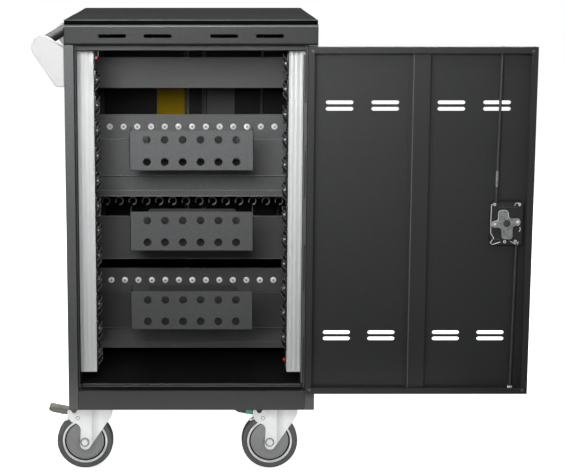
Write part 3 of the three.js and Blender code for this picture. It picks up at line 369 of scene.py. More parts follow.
COAT = coat("charcoal_powder_coat", 0.084)
# The rail's coat is darker than the body's: painted shade against the strong light on its face.
RAIL_SHADE_COAT = coat("rail_painted_shade_coat", 0.031, Specular_IOR_Level=0.25)
STOP_COAT = coat("stop_powder_coat", 0.064, Specular_IOR_Level=0.25)
# The lid's trim is lighter than the lid: a painted highlight along the lid's edge.
TRIM_HIGHLIGHT_COAT = coat("trim_painted_highlight_coat", 0.085, 0.45)
# Lighter coat for the rail's top fold and the door stiffener's edge: painted highlights.
FOLD_HIGHLIGHT_COAT = coat("fold_painted_highlight_coat", 0.12, 0.4)
# The base's coat is darker than the body's: painted shade against the low light on the casters.
BASE_SHADE_COAT = coat("base_painted_shade_coat", 0.029)
# The lid's coat is darker than the body's: painted shade on its top.
LID_SHADE_COAT = coat("lid_painted_shade_coat", 0.063, Specular_IOR_Level=0.0)
# Copies of the inner coat with a darkness set level by level: painted light at the upper level,
# painted shade on the top panel and further down.
PANEL_SHADE_COAT = coat("panel_painted_shade_coat", 0.042)
UPPER_LIGHT_COAT = coat("upper_painted_light_coat", 0.100)
MIDDLE_SHADE_COAT = coat("middle_painted_shade_coat", 0.052)
LOWER_SHADE_COAT = coat("lower_painted_shade_coat", 0.034)
# The baskets' coat gets darker level by level towards the bottom: painted shade.
BASKET_SHADE_COATS = {
    "upper": coat("upper_basket_shade_coat", 0.094),
    "middle": coat("middle_basket_shade_coat", 0.077),
    "lower": coat("lower_basket_shade_coat", 0.069),
}
# Lighter coats for the rolled edge lips: painted highlights, dimmer level by level towards the
# bottom as painted shade.
LIP_HIGHLIGHT_COATS = {
    "upper": coat("upper_lip_highlight_coat", 0.20),
    "middle": coat("middle_lip_highlight_coat", 0.10),
    "lower": coat("lower_lip_highlight_coat", 0.075),
    "sill": coat("sill_lip_highlight_coat", 0.085),
}
# Near-black for the inside of the front door and the sill: painted shade.
SHADE_LINER_COAT = coat("liner_painted_shade_coat", 0.011, Specular_IOR_Level=0.1)
# The basket backs are darker than the baskets: painted shade, as they sit in the baskets' shadow.
BACK_SHADE_COAT = coat("basket_back_painted_shade_coat", 0.030)
# The doors' coat is darker than the body's: painted shade on their faces.
DOOR_SHADE_COAT = coat("door_painted_shade_coat", 0.029, Specular_IOR_Level=0.3)
# Near-black coat for the inner floor: painted shade at the bottom of the cabinet.
FLOOR_SHADE_COAT = coat("floor_painted_shade_coat", 0.008, Specular_IOR_Level=0.15)

ZINC_COLOUR = (0.92, 0.925, 0.93)
ZINC_FINISH = {"metallic": 0.1, "spread": 0.03, "grain": 220, "bump": 0.05, "patches": 40}
ZINC = surface("bright_zinc", ZINC_COLOUR, 0.34, **ZINC_FINISH)
# Zinc with painted shade beside the fork's crease, fading away from it along the piece's X.
CREASE_SHADE_ZINC = surface(
    "crease_painted_shade_zinc", ZINC_COLOUR, 0.34, patch_spread=0.27, shade_band=(0.04, 0.4), **ZINC_FINISH
)
SCREW = surface(
    "screw_zinc", (0.95, 0.95, 0.95), 0.3, spread=0.03, grain=300, bump=0.05, patches=60
)
CAM_STEEL = surface(
    "cam_steel", (0.29, 0.295, 0.30), 0.42, metallic=0.2, spread=0.35, grain=190, bump=0.5,
    patches=60,
)
FITTING_STEEL = surface(
    "fitting_steel", (0.30, 0.305, 0.31), 0.35, metallic=0.3, grain=200, patches=60
)
ROD_STEEL = surface("rod_steel", (0.085, 0.087, 0.09), 0.3, metallic=0.4, stretch=(1, 1, 0.05))
WIRE = surface("wire_steel", (0.13, 0.132, 0.135), 0.3, metallic=0.3, grain=600)
ALUMINIUM = surface(
    "drawn_aluminium", (0.70, 0.705, 0.71), 0.42, metallic=0.1, spread=0.015, grain=500,
    stretch=(1, 1, 0.02), bump=0.02, patch_spread=0.02,
)

# Near-black with no sheen: black rubber and painted shade at the lid's seat; painted shade in the
# doorway gaps, wheel grooves and key slot.
BLACK_RUBBER_AND_SHADE = surface("black_rubber_and_painted_shade", (0.004, 0.004, 0.0045), 0.9, grain=400, Specular_IOR_Level=0.0)
TYRE = surface(
    "tyre_rubber", (0.105, 0.106, 0.108), 0.72, spread=0.12, grain=500, bump=0.4, patches=30
)
WHITE = surface(
    "white_plastic", (0.60, 0.60, 0.60), 0.45, spread=0.012, grain=500, bump=0.06,
    patch_spread=0.02,
)
BLACK = surface("black_plastic", (0.014, 0.0145, 0.015), 0.38, spread=0.2, grain=800, bump=0.15)
CASE = surface("case_plastic", (0.017, 0.0172, 0.018), 0.5, spread=0.2, grain=600, bump=0.15)
TUBE = surface("tube_plastic", (0.03, 0.0305, 0.032), 0.6, grain=600, Specular_IOR_Level=0.1)
# Mid-grey plastic for black cable rings: a painted sheen.
CLIP_SHEEN_PLASTIC = surface("clip_plastic_painted_sheen", (0.40, 0.405, 0.41), 0.3, grain=600)
SOCKET = surface("socket_plastic", (0.012, 0.0125, 0.013), 0.25, spread=0.2, grain=800, bump=0.08)
RED = surface("red_plastic", (0.80, 0.03, 0.03), 0.25, spread=0.08, grain=400, bump=0.05)
HUB = surface("hub_plastic", (0.24, 0.242, 0.245), 0.45, spread=0.05, grain=600, patches=20)
RING = surface("ring_plastic", (0.86, 0.86, 0.86), 0.4, spread=0.02, grain=500, bump=0.05)
PEDAL = surface("pedal_plastic", (0.14, 0.14, 0.105), 0.45, grain=500, bump=0.15)
DARK_PEDAL = surface("dark_pedal_plastic", (0.03, 0.03, 0.031), 0.4, grain=500, bump=0.15)
TEAL = surface("teal_plastic", (0.03, 0.46, 0.35), 0.35, spread=0.06, grain=400, bump=0.05)
CARD = surface(
    "plain_card", (0.30, 0.20, 0.004), 0.7, spread=0.05, grain=300, bump=0.05,
    Specular_IOR_Level=0.05,
)
DARK_CARD = surface("dark_card", (0.022, 0.022, 0.023), 0.5, grain=300, bump=0.05)

WELD_DISTANCE = 0.00002


def dress(skin, bevel, *names):
    """Gives CAD nodes their material and slightly rounded edges."""
    for name in names:
        node = NODES[name]
        node.data.materials.clear()
        node.data.materials.append(skin)
        weld = node.modifiers.new("weld", "WELD")
        weld.merge_threshold = WELD_DISTANCE
        round_edges(node, bevel)


dress(COAT, 0.6, "left_side_panel", "right_side_panel")
dress(BASE_SHADE_COAT, 0.6, "base_tray")
dress(FLOOR_SHADE_COAT, 0.5, "floor_panel")
dress(PANEL_SHADE_COAT, 0.6, "top_cross_panel")
dress(UPPER_LIGHT_COAT, 0.6, "upper_carrier", "upper_shelf")
dress(MIDDLE_SHADE_COAT, 0.6, "middle_carrier", "lower_shelf")
dress(LOWER_SHADE_COAT, 0.6, "lower_carrier")
dress(BLACK, 1.5, "upper_divider_rack", "lower_divider_rack")
dress(DOOR_SHADE_COAT, 0.6, "rear_door_panel", "front_door_panel")
dress(BLACK, 0.8, "left_rocker_switch", "right_rocker_switch")


# Outside of the cabinet

LID_SHEET = 1.6
LID_CORNER = 5
LID_INSET, SEAT_INSET, SEAT_OVERLAP = 0.2, 0.8, 0.2
TRIM_WIDTH, TRIM_RISE = 2.6, 0.15


def lid_outline(inset):
    """Outline of the top cover, drawn in on all sides."""
    return pad(0, 0, (HALF_WIDTH - inset, HALF_DEPTH - inset), LID_CORNER)


def build_lid():
    """Thin top cover in a darker coat as painted shade, on a dark seat, with a lighter trim round
    its edge as a painted highlight.
    """
    under = LID_TOP - LID_SHEET
    bm = bmesh.new()
    plate(bm, lid_outline(LID_INSET), "z", under, LID_TOP)
    piece("lid", bm, LID_SHADE_COAT, stands_for=["top_cover"], bevel=0.7, segments=3)
    # The seat under the lid is near-black: black rubber, and painted shade of the gap under the
    # lid.
    bm = bmesh.new()
    plate(bm, lid_outline(SEAT_INSET), "z", LID_BOTTOM, under + SEAT_OVERLAP)
    piece("lid_seat", bm, BLACK_RUBBER_AND_SHADE, bevel=1.0)
    bm = bmesh.new()
    plate(bm, lid_outline(0), "z", under, LID_TOP + TRIM_RISE, [lid_outline(TRIM_WIDTH)])
    piece("lid_edge_trim", bm, TRIM_HIGHLIGHT_COAT, bevel=0.7, segments=4)


FOLD = 4.5
RAIL_BACK = -270
RAIL_VENT = (987, 60, 8)
ROD_HOLE = 7
STOP_HALF = 247.7
STOP_NEAR, STOP_FAR = -273, -271.5
STOP_BOTTOM = DOORWAY_TOP - 14


def fold_outline(cy, cz, start, end):
    """Section of a bent edge of the sheet: a quarter of a ring."""
    return arc(cy, cz, FOLD, start, end, 6) + arc(cy, cz, FOLD - SHEET, end, start, 6)


def build_rail(face, place):
    """Top rail with rounded folds, vents and the rod's hole, its end plates and the door stop."""
    near, bend = -HALF_DEPTH, -HALF_DEPTH + FOLD
    low, high = DOORWAY_TOP + FOLD, BODY_TOP - FOLD
    flange = rectangle(-HALF_WIDTH, HALF_WIDTH, bend, RAIL_BACK)
    vents = [slot_outline(x, *RAIL_VENT) for x in VENT_X]
    bm = bmesh.new()
    plate(bm, rectangle(-HALF_WIDTH, HALF_WIDTH, low, high), "y", near, near + SHEET, vents)
    plate(bm, fold_outline(bend, low, 180, 270), "x", -HALF_WIDTH, HALF_WIDTH)
    plate(bm, flange, "z", BODY_TOP - SHEET, BODY_TOP)
    hole = circle(UPPER_ROD_X, ROD_Y, ROD_HOLE)
    plate(bm, flange, "z", DOORWAY_TOP, DOORWAY_TOP + SHEET, [hole])
    piece(f"{face}_rail", bm, RAIL_SHADE_COAT, place=place, stands_for=[f"{face}_top_rail"])
    bm = bmesh.new()
    box(bm, -STOP_HALF, STOP_HALF, STOP_NEAR, STOP_FAR, STOP_BOTTOM, DOORWAY_TOP)
    piece(f"{face}_door_stop", bm, STOP_COAT, place=place)
    bm = bmesh.new()
    end = rounded_box(near, RAIL_BACK, DOORWAY_TOP, BODY_TOP, 3)
    plate(bm, end, "x", -HALF_WIDTH, -HALF_WIDTH + SHEET)
    plate(bm, end, "x", HALF_WIDTH - SHEET, HALF_WIDTH)
    piece(f"{face}_rail_ends", bm, COAT, place=place)
    # The upper fold is its own piece in the lighter coat: a painted highlight.
    bm = bmesh.new()
    plate(bm, fold_outline(bend, high, 180, 90), "x", -HALF_WIDTH, HALF_WIDTH)
    piece(f"{face}_rail_fold", bm, FOLD_HIGHLIGHT_COAT, place=place)


HANDLE_X, HANDLE_Z = -319.5, 962.5
HANDLE_RADIUS, HANDLE_DROP = 23.5, 85.5
HANDLE_LIP, HANDLE_TOE, TOE_REACH = 2, 8, 14
HANDLE_TURN, TOE_TURN = 61, 214
TUBE_RADIUS, TUBE_RISE, TUBE_SEAT = 12.5, 8, 4
BRACKET_NEAR, BRACKET_FAR = -292, -260


def build_handle():
    """Two moulded brackets with rounded edges and the dark tube between them."""
    wall, foot = -HALF_WIDTH - GAP, HANDLE_Z - HANDLE_DROP
    outline = [
        (wall, HANDLE_Z - HANDLE_LIP),
        *arc(HANDLE_X, HANDLE_Z, HANDLE_RADIUS, HANDLE_TURN, TOE_TURN, 20),
        *arc(wall - TOE_REACH, foot + HANDLE_TOE, HANDLE_TOE, TOE_TURN, 270, 6),
        (wall, foot),
    ]
    brackets = {"rear": (BRACKET_NEAR, BRACKET_FAR), "front": (-BRACKET_FAR, -BRACKET_NEAR)}
    for face, (near, far) in brackets.items():
        bm = bmesh.new()
        plate(bm, outline, "y", near, far)
        piece(
            f"handle_{face}_end", bm, WHITE,
            stands_for=[f"handle_{face}_bracket"], bevel=2.5, segments=4,
        )
    bm = bmesh.new()
    half = -BRACKET_FAR + TUBE_SEAT
    drum(bm, TUBE_RADIUS, -half, half, (HANDLE_X, 0, HANDLE_Z + TUBE_RISE), "y")
    piece("handle_bar", bm, TUBE, stands_for=["handle_tube"])


# Inside of the cabinet

BASKET_HALF = 138.5
BASKET_FRONT, BASKET_BACK = -194, -38.3
BASKET_RISE, BASKET_DROP = 38, 52
BASKET_HOLE = 9
HOLE_COLUMNS, HOLE_ROWS = (-100, -60, -20, 20, 60, 100), (-25, 25)
WING = 58
BACK_HALF, BACK_RISE = 103, 18
HOOKS = (-79, 0, 79)
HOOK_HALF, HOOK_REACH = 12, 8.3


def build_basket(name, top):
    """Perforated basket of bent sheet with short side wings, hung on a carrier by its back."""
    front, back = BASKET_FRONT, BASKET_BACK
    low, high = top - BASKET_DROP, top + BASKET_RISE
    middle = (high + low) / 2
    holes = [circle(x, middle + z, BASKET_HOLE, 20) for z in HOLE_ROWS for x in HOLE_COLUMNS]
    sheet = rounded_box(-BASKET_HALF, BASKET_HALF, low, high, 2.5)
    wing = [
        (front, low), (front + WING, low), (front + WING, high + 1), (front + WING - 2, high + 3),
        (front, high),
    ]
    bm = bmesh.new()
    plate(bm, sheet, "y", front, front + SHEET, holes)
    box(bm, -BASKET_HALF, BASKET_HALF, front, back, low, low + SHEET)
    plate(bm, wing, "x", -BASKET_HALF, -BASKET_HALF + SHEET)
    plate(bm, wing, "x", BASKET_HALF - SHEET, BASKET_HALF)
    piece(
        f"{name}_cable_basket", bm, BASKET_SHADE_COATS[name],
        stands_for=[f"{name}_basket"], bevel=0.5,
    )
    bm = bmesh.new()
    sheet = rounded_box(-BACK_HALF, BACK_HALF, low + SHEET, top + BACK_RISE, 8)
    plate(bm, sheet, "y", back - SHEET, back)
    hook = top + GAP
    for x in HOOKS:
        box(bm, x - HOOK_HALF, x + HOOK_HALF, back - SHEET, back + HOOK_REACH, hook, hook + SHEET)
    piece(f"{name}_basket_back", bm, BACK_SHADE_COAT, bevel=0.5)


SCREW_FACE, SCREW_RISE = -29.7, 150
SCREW_COLUMNS = [(i - 6) * 32 for i in range(13)]
SCREW_RADIUS, SCREW_RIM, SCREW_DOME = 7.2, 1.9, 2.4
SCREW_PROFILE = [
    (SCREW_RADIUS, 0.4), (SCREW_RADIUS, -SCREW_RIM),
    *(
        (SCREW_RADIUS * math.cos(t), -SCREW_RIM - SCREW_DOME * math.sin(t))
        for t in (0.2, 0.5, 0.8, 1.1, 1.35)
    ),
    (0.9, -4.3), (0, -4.2),
]
CROSS_BAR = rectangle(2.9, -2.9, 0.7, -0.7)
CROSS_OUT, CROSS_IN = 4.6, 3.4


def build_screws(name, deck):
    """Row of domed divider screws, with dark crosses on them as painted shade of their recesses."""
    level = deck + SCREW_RISE
    bm = bmesh.new()
    for x in SCREW_COLUMNS:
        lathe(bm, SCREW_PROFILE, (x, SCREW_FACE, level), "y", 28)
    piece(f"{name}_screws", bm, SCREW)
    # Dark crosses on the domes: painted shade of the cross recesses.
    bm = bmesh.new()
    for x in SCREW_COLUMNS:
        for turn in (math.radians(45), math.radians(135)):
            u, v = math.cos(turn), math.sin(turn)
            bar = [
                (x + u * along - v * across, level + v * along + u * across)
                for along, across in CROSS_BAR
            ]
            plate(bm, bar, "y", SCREW_FACE - CROSS_OUT, SCREW_FACE - CROSS_IN)
    piece(f"{name}_screw_recess_shade", bm, ROD_STEEL)


CLIP_NEAR, CLIP_FAR = 50, 58
CLIP_Z, CLIP_TOP = 570, 609.7
CLIP_OUTER, CLIP_INNER = 10, 7.5
CLIP_OPEN, CLIP_END = -153, -450
CLIP_BAR_HALF, CLIP_BAR_SHEET, CLIP_STEM_HALF = 224, 2.5, 2.5
CLIP_COLUMNS = [(i - 6.5) * 32 for i in range(14)]


def build_clips():
    """Strip of open cable rings under the upper shelf."""
    bm = bmesh.new()
    bar = (CLIP_TOP - CLIP_BAR_SHEET, CLIP_TOP)
    box(bm, -CLIP_BAR_HALF, CLIP_BAR_HALF, CLIP_NEAR, CLIP_FAR, *bar)
    for x in CLIP_COLUMNS:
        ring = arc(x, CLIP_Z, CLIP_OUTER, CLIP_OPEN, CLIP_END, 24)
        ring += arc(x, CLIP_Z, CLIP_INNER, CLIP_END, CLIP_OPEN, 24)
        plate(bm, ring, "y", CLIP_NEAR, CLIP_FAR)
        stem = (x - CLIP_STEM_HALF, x + CLIP_STEM_HALF)
        box(bm, *stem, CLIP_NEAR, CLIP_FAR, CLIP_Z + CLIP_OUTER - 1, CLIP_TOP)
    piece("cable_clips", bm, CLIP_SHEEN_PLASTIC, stands_for=["cable_clip_strip"], bevel=0.8)


STRIP_NEAR, STRIP_FAR = -238, -188
STRIP_OUTER, STRIP_INNER = 249.7, 213.7
STRIP_BANDS = [
    (0, 0), (4, 1.0), (8, 0.1), (12, 0.9), (18, 0), (23, 0.9), (28, 0.1), (32, 0.9), (36, 0.2),
]
STRIP_CAP = 3
SWITCH_INSET, SWITCH_HALF = 24, 10.8
SWITCH_NEAR, SWITCH_FAR = -220.8, -205.2
POCKET = 9
LENS_Y, LENS_HALVES, LENS_OUT, LENS_IN = -218.4, (2, 3), 7.5, 2


def build_pdu(side):
    """Drawn strip with a softly banded face, end caps, a bank of sockets and the switch's lens."""
    name = "left" if side < 0 else "right"
    face = [(STRIP_OUTER - u, STRIP_NEAR + v) for u, v in STRIP_BANDS]
    outline = [(STRIP_INNER, STRIP_FAR), (STRIP_OUTER, STRIP_FAR)] + face
    floor = STRIP_INNER + POCKET
    pocket = [(floor, STRIP_FAR), (STRIP_OUTER, STRIP_FAR)]
    pocket += [(u, v) for u, v in face if u > floor] + [(floor, STRIP_NEAR)]
    level = PDU_TOP - SWITCH_INSET if side < 0 else PDU_BOTTOM + SWITCH_INSET
    low, high = level - SWITCH_HALF, level + SWITCH_HALF
    bm = bmesh.new()
    for foot, top in ((PDU_BOTTOM + STRIP_CAP, low), (high, PDU_TOP - STRIP_CAP)):
        plate(bm, [(u * side, v) for u, v in outline], "z", foot, top)
    plate(bm, [(u * side, v) for u, v in pocket], "z", low, high)
    cheek = span(STRIP_INNER * side, floor * side)
    for near, far in ((STRIP_NEAR, SWITCH_NEAR), (SWITCH_FAR, STRIP_FAR)):
        box(bm, *cheek, near, far, low, high)
    piece(f"{name}_strip", bm, ALUMINIUM, stands_for=[f"{name}_pdu"], sharp=12)
    bm = bmesh.new()
    cap = rounded_box(*span(STRIP_INNER * side, STRIP_OUTER * side), STRIP_NEAR, STRIP_FAR, 2)
    for foot in (PDU_BOTTOM, PDU_TOP - STRIP_CAP):
        plate(bm, cap, "z", foot, foot + STRIP_CAP)
    piece(f"{name}_strip_caps", bm, ALUMINIUM, bevel=0.6)
    bm = bmesh.new()
    lens = pad(LENS_Y, level, LENS_HALVES, 1.2, 4)
    ends = span(side * (STRIP_INNER - LENS_OUT), side * (STRIP_INNER - LENS_IN))
    plate(bm, lens, "x", *ends)
    piece(f"{name}_switch_lens", bm, RED, f"{name}_switch", bevel=0.8)
    build_sockets(name, side)


SOCKET_COUNT, SOCKET_PITCH = 12, 56.3
SOCKET_Y, SOCKET_Z, SOCKET_OFFSET = -213, 593, 18
FLANGE_HALVES, FLANGE_SHEET = (23, 26.5), 4
COLLAR = [
    (0, 3.9), (19.5, 3.9), (19.5, 7.5), (18.6, 10.2), (17.4, 11), (15.4, 11), (14.8, 10),
    (14.4, 6), (0, 6),
]
CONTACTS = ((-5.5, 5), (5.5, 5), (0, -6))
CONTACT_HALVES, CONTACT_IN, CONTACT_OUT = (1.2, 3.5), 5.8, 6.5
WIRE_FEET = (-20, -6, 8)
WIRE_RADIUS = 0.9
WIRE_BENDS = ((3.6, 22.6, 0), (7, 21.4, 5), (11, 19.5, 9), (12, 17.5, 15))


def build_sockets(name, side):
    """Sockets with a round collar, contacts and bent wires that hold each plug in."""
    face = STRIP_INNER - GAP
    bodies, contacts, wires = bmesh.new(), bmesh.new(), bmesh.new()
    for i in range(SOCKET_COUNT):
        row = (i - (SOCKET_COUNT - 1) / 2) * SOCKET_PITCH
        level = SOCKET_Z - side * (row - SOCKET_OFFSET)
        flange = pad(SOCKET_Y, level, FLANGE_HALVES, 5)
        plate(bodies, flange, "x", *span(side * face, side * (face - FLANGE_SHEET)))
        lathe(bodies, facing(-side, COLLAR), (side * face, SOCKET_Y, level), "x", 36)
        for u, v in CONTACTS:
            slot = pad(SOCKET_Y + u, level + v, CONTACT_HALVES, 0.6, 2)
            ends = span(side * (face - CONTACT_IN), side * (face - CONTACT_OUT))
            plate(contacts, slot, "x", *ends)
        for foot in WIRE_FEET:
            path = [
                (side * (face - out), SOCKET_Y - near, level + foot + rise)
                for out, near, rise in WIRE_BENDS
            ]
            tube(wires, path, WIRE_RADIUS, 8)
    piece(f"{name}_sockets", bodies, SOCKET, stands_for=[f"{name}_outlet_bank"], bevel=0.6)
    piece(f"{name}_socket_contacts", contacts, CAM_STEEL)
    piece(f"{name}_plug_wires", wires, WIRE)


CARRIER_LIP_Y, SHELF_LIP_Y, SILL_LIP_Y = -38.4, -30.2, -272.6
LIP_RADIUS = 1.3
INNER_LIP_HALF, SILL_LIP_HALF = 226, 243
LIP_LINES = {
    "upper": {CARRIER_LIP_Y: (732, 645.4), SHELF_LIP_Y: (609.4, 595.6)},
    "middle": {CARRIER_LIP_Y: (549, 447.4)},
    "lower": {CARRIER_LIP_Y: (366, 279.4), SHELF_LIP_Y: (243.4, 229.6)},
    "sill": {SILL_LIP_Y: (209.6, 204.8)},
}
SILL_SHADE_SHEET = (-244, 244, -299, -274)
SILL_SHADE_LOW, SILL_SHADE_HIGH = DOORWAY_BOTTOM + 0.05, DOORWAY_BOTTOM + 0.6


def build_lips():
    """Lighter rolled edges of the cross panels, the shelf skirts and the sill as painted
    highlights, dimmer lower down as painted shade, and a near-black sheet on the sill as painted
    shade.
    """
    for name, lines in LIP_LINES.items():
        half = SILL_LIP_HALF if name == "sill" else INNER_LIP_HALF
        bm = bmesh.new()
        for y, levels in lines.items():
            for z in levels:
                tube(bm, [(-half, y, z), (half, y, z)], LIP_RADIUS, 10)
        piece(f"{name}_highlight_edge_lips", bm, LIP_HIGHLIGHT_COATS[name])
    # A thin near-black sheet on the sill before the door stop: painted shade of the gap there.
    bm = bmesh.new()
    plate(bm, rounded_box(*SILL_SHADE_SHEET, 2), "z", SILL_SHADE_LOW, SILL_SHADE_HIGH)
    piece("sill_shade_sheet", bm, SHADE_LINER_COAT)


# Near-black beads along the doorway's gaps: painted shade.
GAP_SHADE_LINES = (
    (DOORWAY_HALF - 0.3, -296.5, DOORWAY_TOP - 0.3),
    (DOORWAY_HALF - 4, -272.6, STOP_BOTTOM),
)
GAP_SHADE_RADIUS = 1.0
GAP_SHADE_FOOT = DOORWAY_BOTTOM + 9


def build_gap_shades(face, place):
    """Thin dark beads along the edges of a doorway and of its door stop, as painted shade of the
    gaps there.
    """
    bm = bmesh.new()
    for half, y, top in GAP_SHADE_LINES:
        tube(bm, [(-half, y, top), (half, y, top)], GAP_SHADE_RADIUS, 8)
        for x in (-half, half):
            tube(bm, [(x, y, GAP_SHADE_FOOT), (x, y, top)], GAP_SHADE_RADIUS, 8)
    piece(f"{face}_doorway_gap_shade", bm, BLACK_RUBBER_AND_SHADE, place=place)


# Doors

KNUCKLES = 7
KNUCKLE_RADIUS = 3.2
HINGE_INSET = 18
LEAF_NEAR = -HALF_DEPTH - GAP - SHEET
LEAF_INNER, LEAF_OUTER = 4.4, 23.4


def build_hinges(face, door_place):
    """Continuous hinge: two leaves with alternate knuckles."""
    low, high = DOOR_BOTTOM + HINGE_INSET, DOOR_TOP - HINGE_INSET
    pitch = (high - low) / KNUCKLES
    halves = (
        ("frame", 0, HINGE_X + LEAF_INNER, HINGE_X + LEAF_OUTER, "cabinet", FACES[face]),
        ("door", 1, HINGE_X - LEAF_OUTER, HINGE_X - LEAF_INNER, f"{face}_door", door_place),
    )
    for half, first, left, right, body, place in halves:
        bm = bmesh.new()
        box(bm, left, right, LEAF_NEAR, LEAF_NEAR + SHEET, low, high)
        reach = (min(right, HINGE_X), max(left, HINGE_X))
        for i in range(first, KNUCKLES, 2):
            foot, top = low + i * pitch + GAP, low + (i + 1) * pitch - GAP
            drum(bm, KNUCKLE_RADIUS, foot, top, (HINGE_X, HINGE_Y, 0), "z", 20)
            box(bm, *reach, LEAF_NEAR, LEAF_NEAR + SHEET, foot, top)
        piece(f"{face}_{half}_leaf", bm, COAT, body, place, [f"{face}_{half}_hinge"])


LOCK_NEAR = -HALF_DEPTH + SHEET + GAP
LOCK_HALF, LOCK_HALVES = 35, (35, 49)
LOCK_SHEET, LOCK_BLOCK_DEPTH = 2.5, 6
LOCK_BLOCK_LEFT, LOCK_BLOCK_RIGHT, LOCK_BLOCK_HALF = LOCK_X - 19, LOCK_X + 15, 33
LOCK_BORE, LOCK_HOLE = 6.6, 2.4
LOCK_HOLES = [(-27, 40), (27, 40), (-27, -41), (27, -41)]
CASE_FACE = -284.0
CASE_BOTTOM, CASE_TOP, CASE_WALL_INSET = LOCK_Z - 48, LOCK_Z + 46, 4
LOCK_GLINT_WIRES = [
    [(-32, 42), (-34, 37), (-34, -22), (-27, -33), (-34, -43), (-30, -47.5), (-13, -42)],
    [(16, 38), (19, 44), (25, 44), (27, 37)],
    [(9, -40), (20, -46), (27, -42), (25, -48)],
    [(29, -9), (30, -14), (28, -19)],
]
LOCK_RIBS = [[(-17, 34.5), (23, 34.5)], [(-9, 34.5), (-9, 42)], [(-30, -36), (-14, -36)]]
CASE_RIVETS = [(-27, 41), (27, 41), (-3, -41), (20, -40)]
CASE_RIVET = [(1.6, -0.4), (3.4, -0.4), (3.0, 0.8), (1.6, 0.7)]


def on_lock(points):
    """Points round the lock's middle, as seen from the inside of the door."""
    return [(LOCK_X - u, LOCK_Z + v) for u, v in points]


def lock_wire(bm, points, depth, radius, sides=14):
    """Bar along points round the lock's middle, at one depth."""
    tube(bm, [(x, depth, z) for x, z in on_lock(points)], radius, sides)


def build_lock(face, place):
    """Black lock case with bright bars along its edges as painted highlights, and the cam, lever
    and rods that turn with it.
    """
    body = f"{face}_door"
    left, right = LOCK_X - LOCK_HALF, LOCK_X + LOCK_HALF
    bore = circle(LOCK_X, LOCK_Z, LOCK_BORE)
    bm = bmesh.new()
    holes = [bore] + [circle(x, z, LOCK_HOLE, 14) for x, z in on_lock(LOCK_HOLES)]
    top = LOCK_NEAR + LOCK_SHEET
    plate(bm, pad(LOCK_X, LOCK_Z, LOCK_HALVES, 5), "y", LOCK_NEAR, top, holes)
    block = (LOCK_BLOCK_LEFT, LOCK_BLOCK_RIGHT, top, LOCK_NEAR + LOCK_BLOCK_DEPTH)
    box(bm, *block, LOCK_Z - LOCK_BLOCK_HALF, LOCK_Z + LOCK_BLOCK_HALF)
    piece(f"{face}_lock_base", bm, BLACK, body, place, [f"{face}_lock_plate"], bevel=0.6)
    bm = bmesh.new()
    cover = rounded_box(left, right, CASE_BOTTOM, CASE_TOP, 4)
    plate(bm, cover, "y", CASE_FACE - SHEET, CASE_FACE, [bore])
    for wall in ((left, left + SHEET), (right - SHEET, right)):
        depths = (top - 0.1, CASE_FACE - 1)
        box(bm, *wall, *depths, CASE_BOTTOM + CASE_WALL_INSET, CASE_TOP - CASE_WALL_INSET)
    piece(f"{face}_lock_case", bm, CASE, body, place, bevel=0.5)
    bm = bmesh.new()
    # Zinc bars along parts of the case's edges: painted highlights.
    for wire in LOCK_GLINT_WIRES:
        lock_wire(bm, wire, CASE_FACE, WIRE_RADIUS)
    for x, z in on_lock(CASE_RIVETS):
        lathe(bm, CASE_RIVET, (x, CASE_FACE, z), "y", 20, True)
    piece(f"{face}_lock_glints_and_rivets", bm, ZINC, body, place)
    bm = bmesh.new()
    for rib in LOCK_RIBS:
        lock_wire(bm, rib, CASE_FACE, WIRE_RADIUS)
    piece(f"{face}_lock_ribs", bm, ROD_STEEL, body, place)
    build_cam(face, place)
    build_lever(face, place)
    build_rods(face, place)


CAM_NEAR = -HALF_DEPTH + 17.5
CAM_SHEET = 3
CAM_SHAFT, CAM_SHAFT_END = 6, -300.3
CAM_OUTLINE = [
    (6, 11), (4, 13), (3, 16), (2.4, 23), (0, 27), (-4, 29), (-13, 29), (-17, 27), (-19, 23),
    (-19, 9), (-21, 6), (-26, 5), (-30.5, 3), (-33, -2), (-31.5, -7), (-27, -9.6), (-16, -10),
    (-13, -12), (-11.4, -16), (-11, -29), (-9, -33), (-5, -35), (8, -35), (11.5, -33), (13, -29),
    (13, -10), (15, -7), (18, -5.6), (23, -5), (27, -2), (28.4, 3), (26.5, 8), (22, 11),
]
CAM_HIGHLIGHT_RIM = (CAM_OUTLINE[:15], CAM_OUTLINE[28:])
CAM_HIGHLIGHT_Y, CAM_HIGHLIGHT_RADIUS = CAM_NEAR + 2.7, 0.6
CAM_RIVETS = [(-26, -2), (23, 3)]
CAM_RIVET = [(0, 4.8), (2.6, 4.3), (3.4, 2.8), (0, 2.8)]
NUT = [(0, 6.2), (4.5, 6.2), (5.6, 5.2), (5.6, 2.5), (0, 2.5)]
WASHER = [(0, 2.5), (8.2, 2.5), (8.0, 3.6), (0, 3.8)]


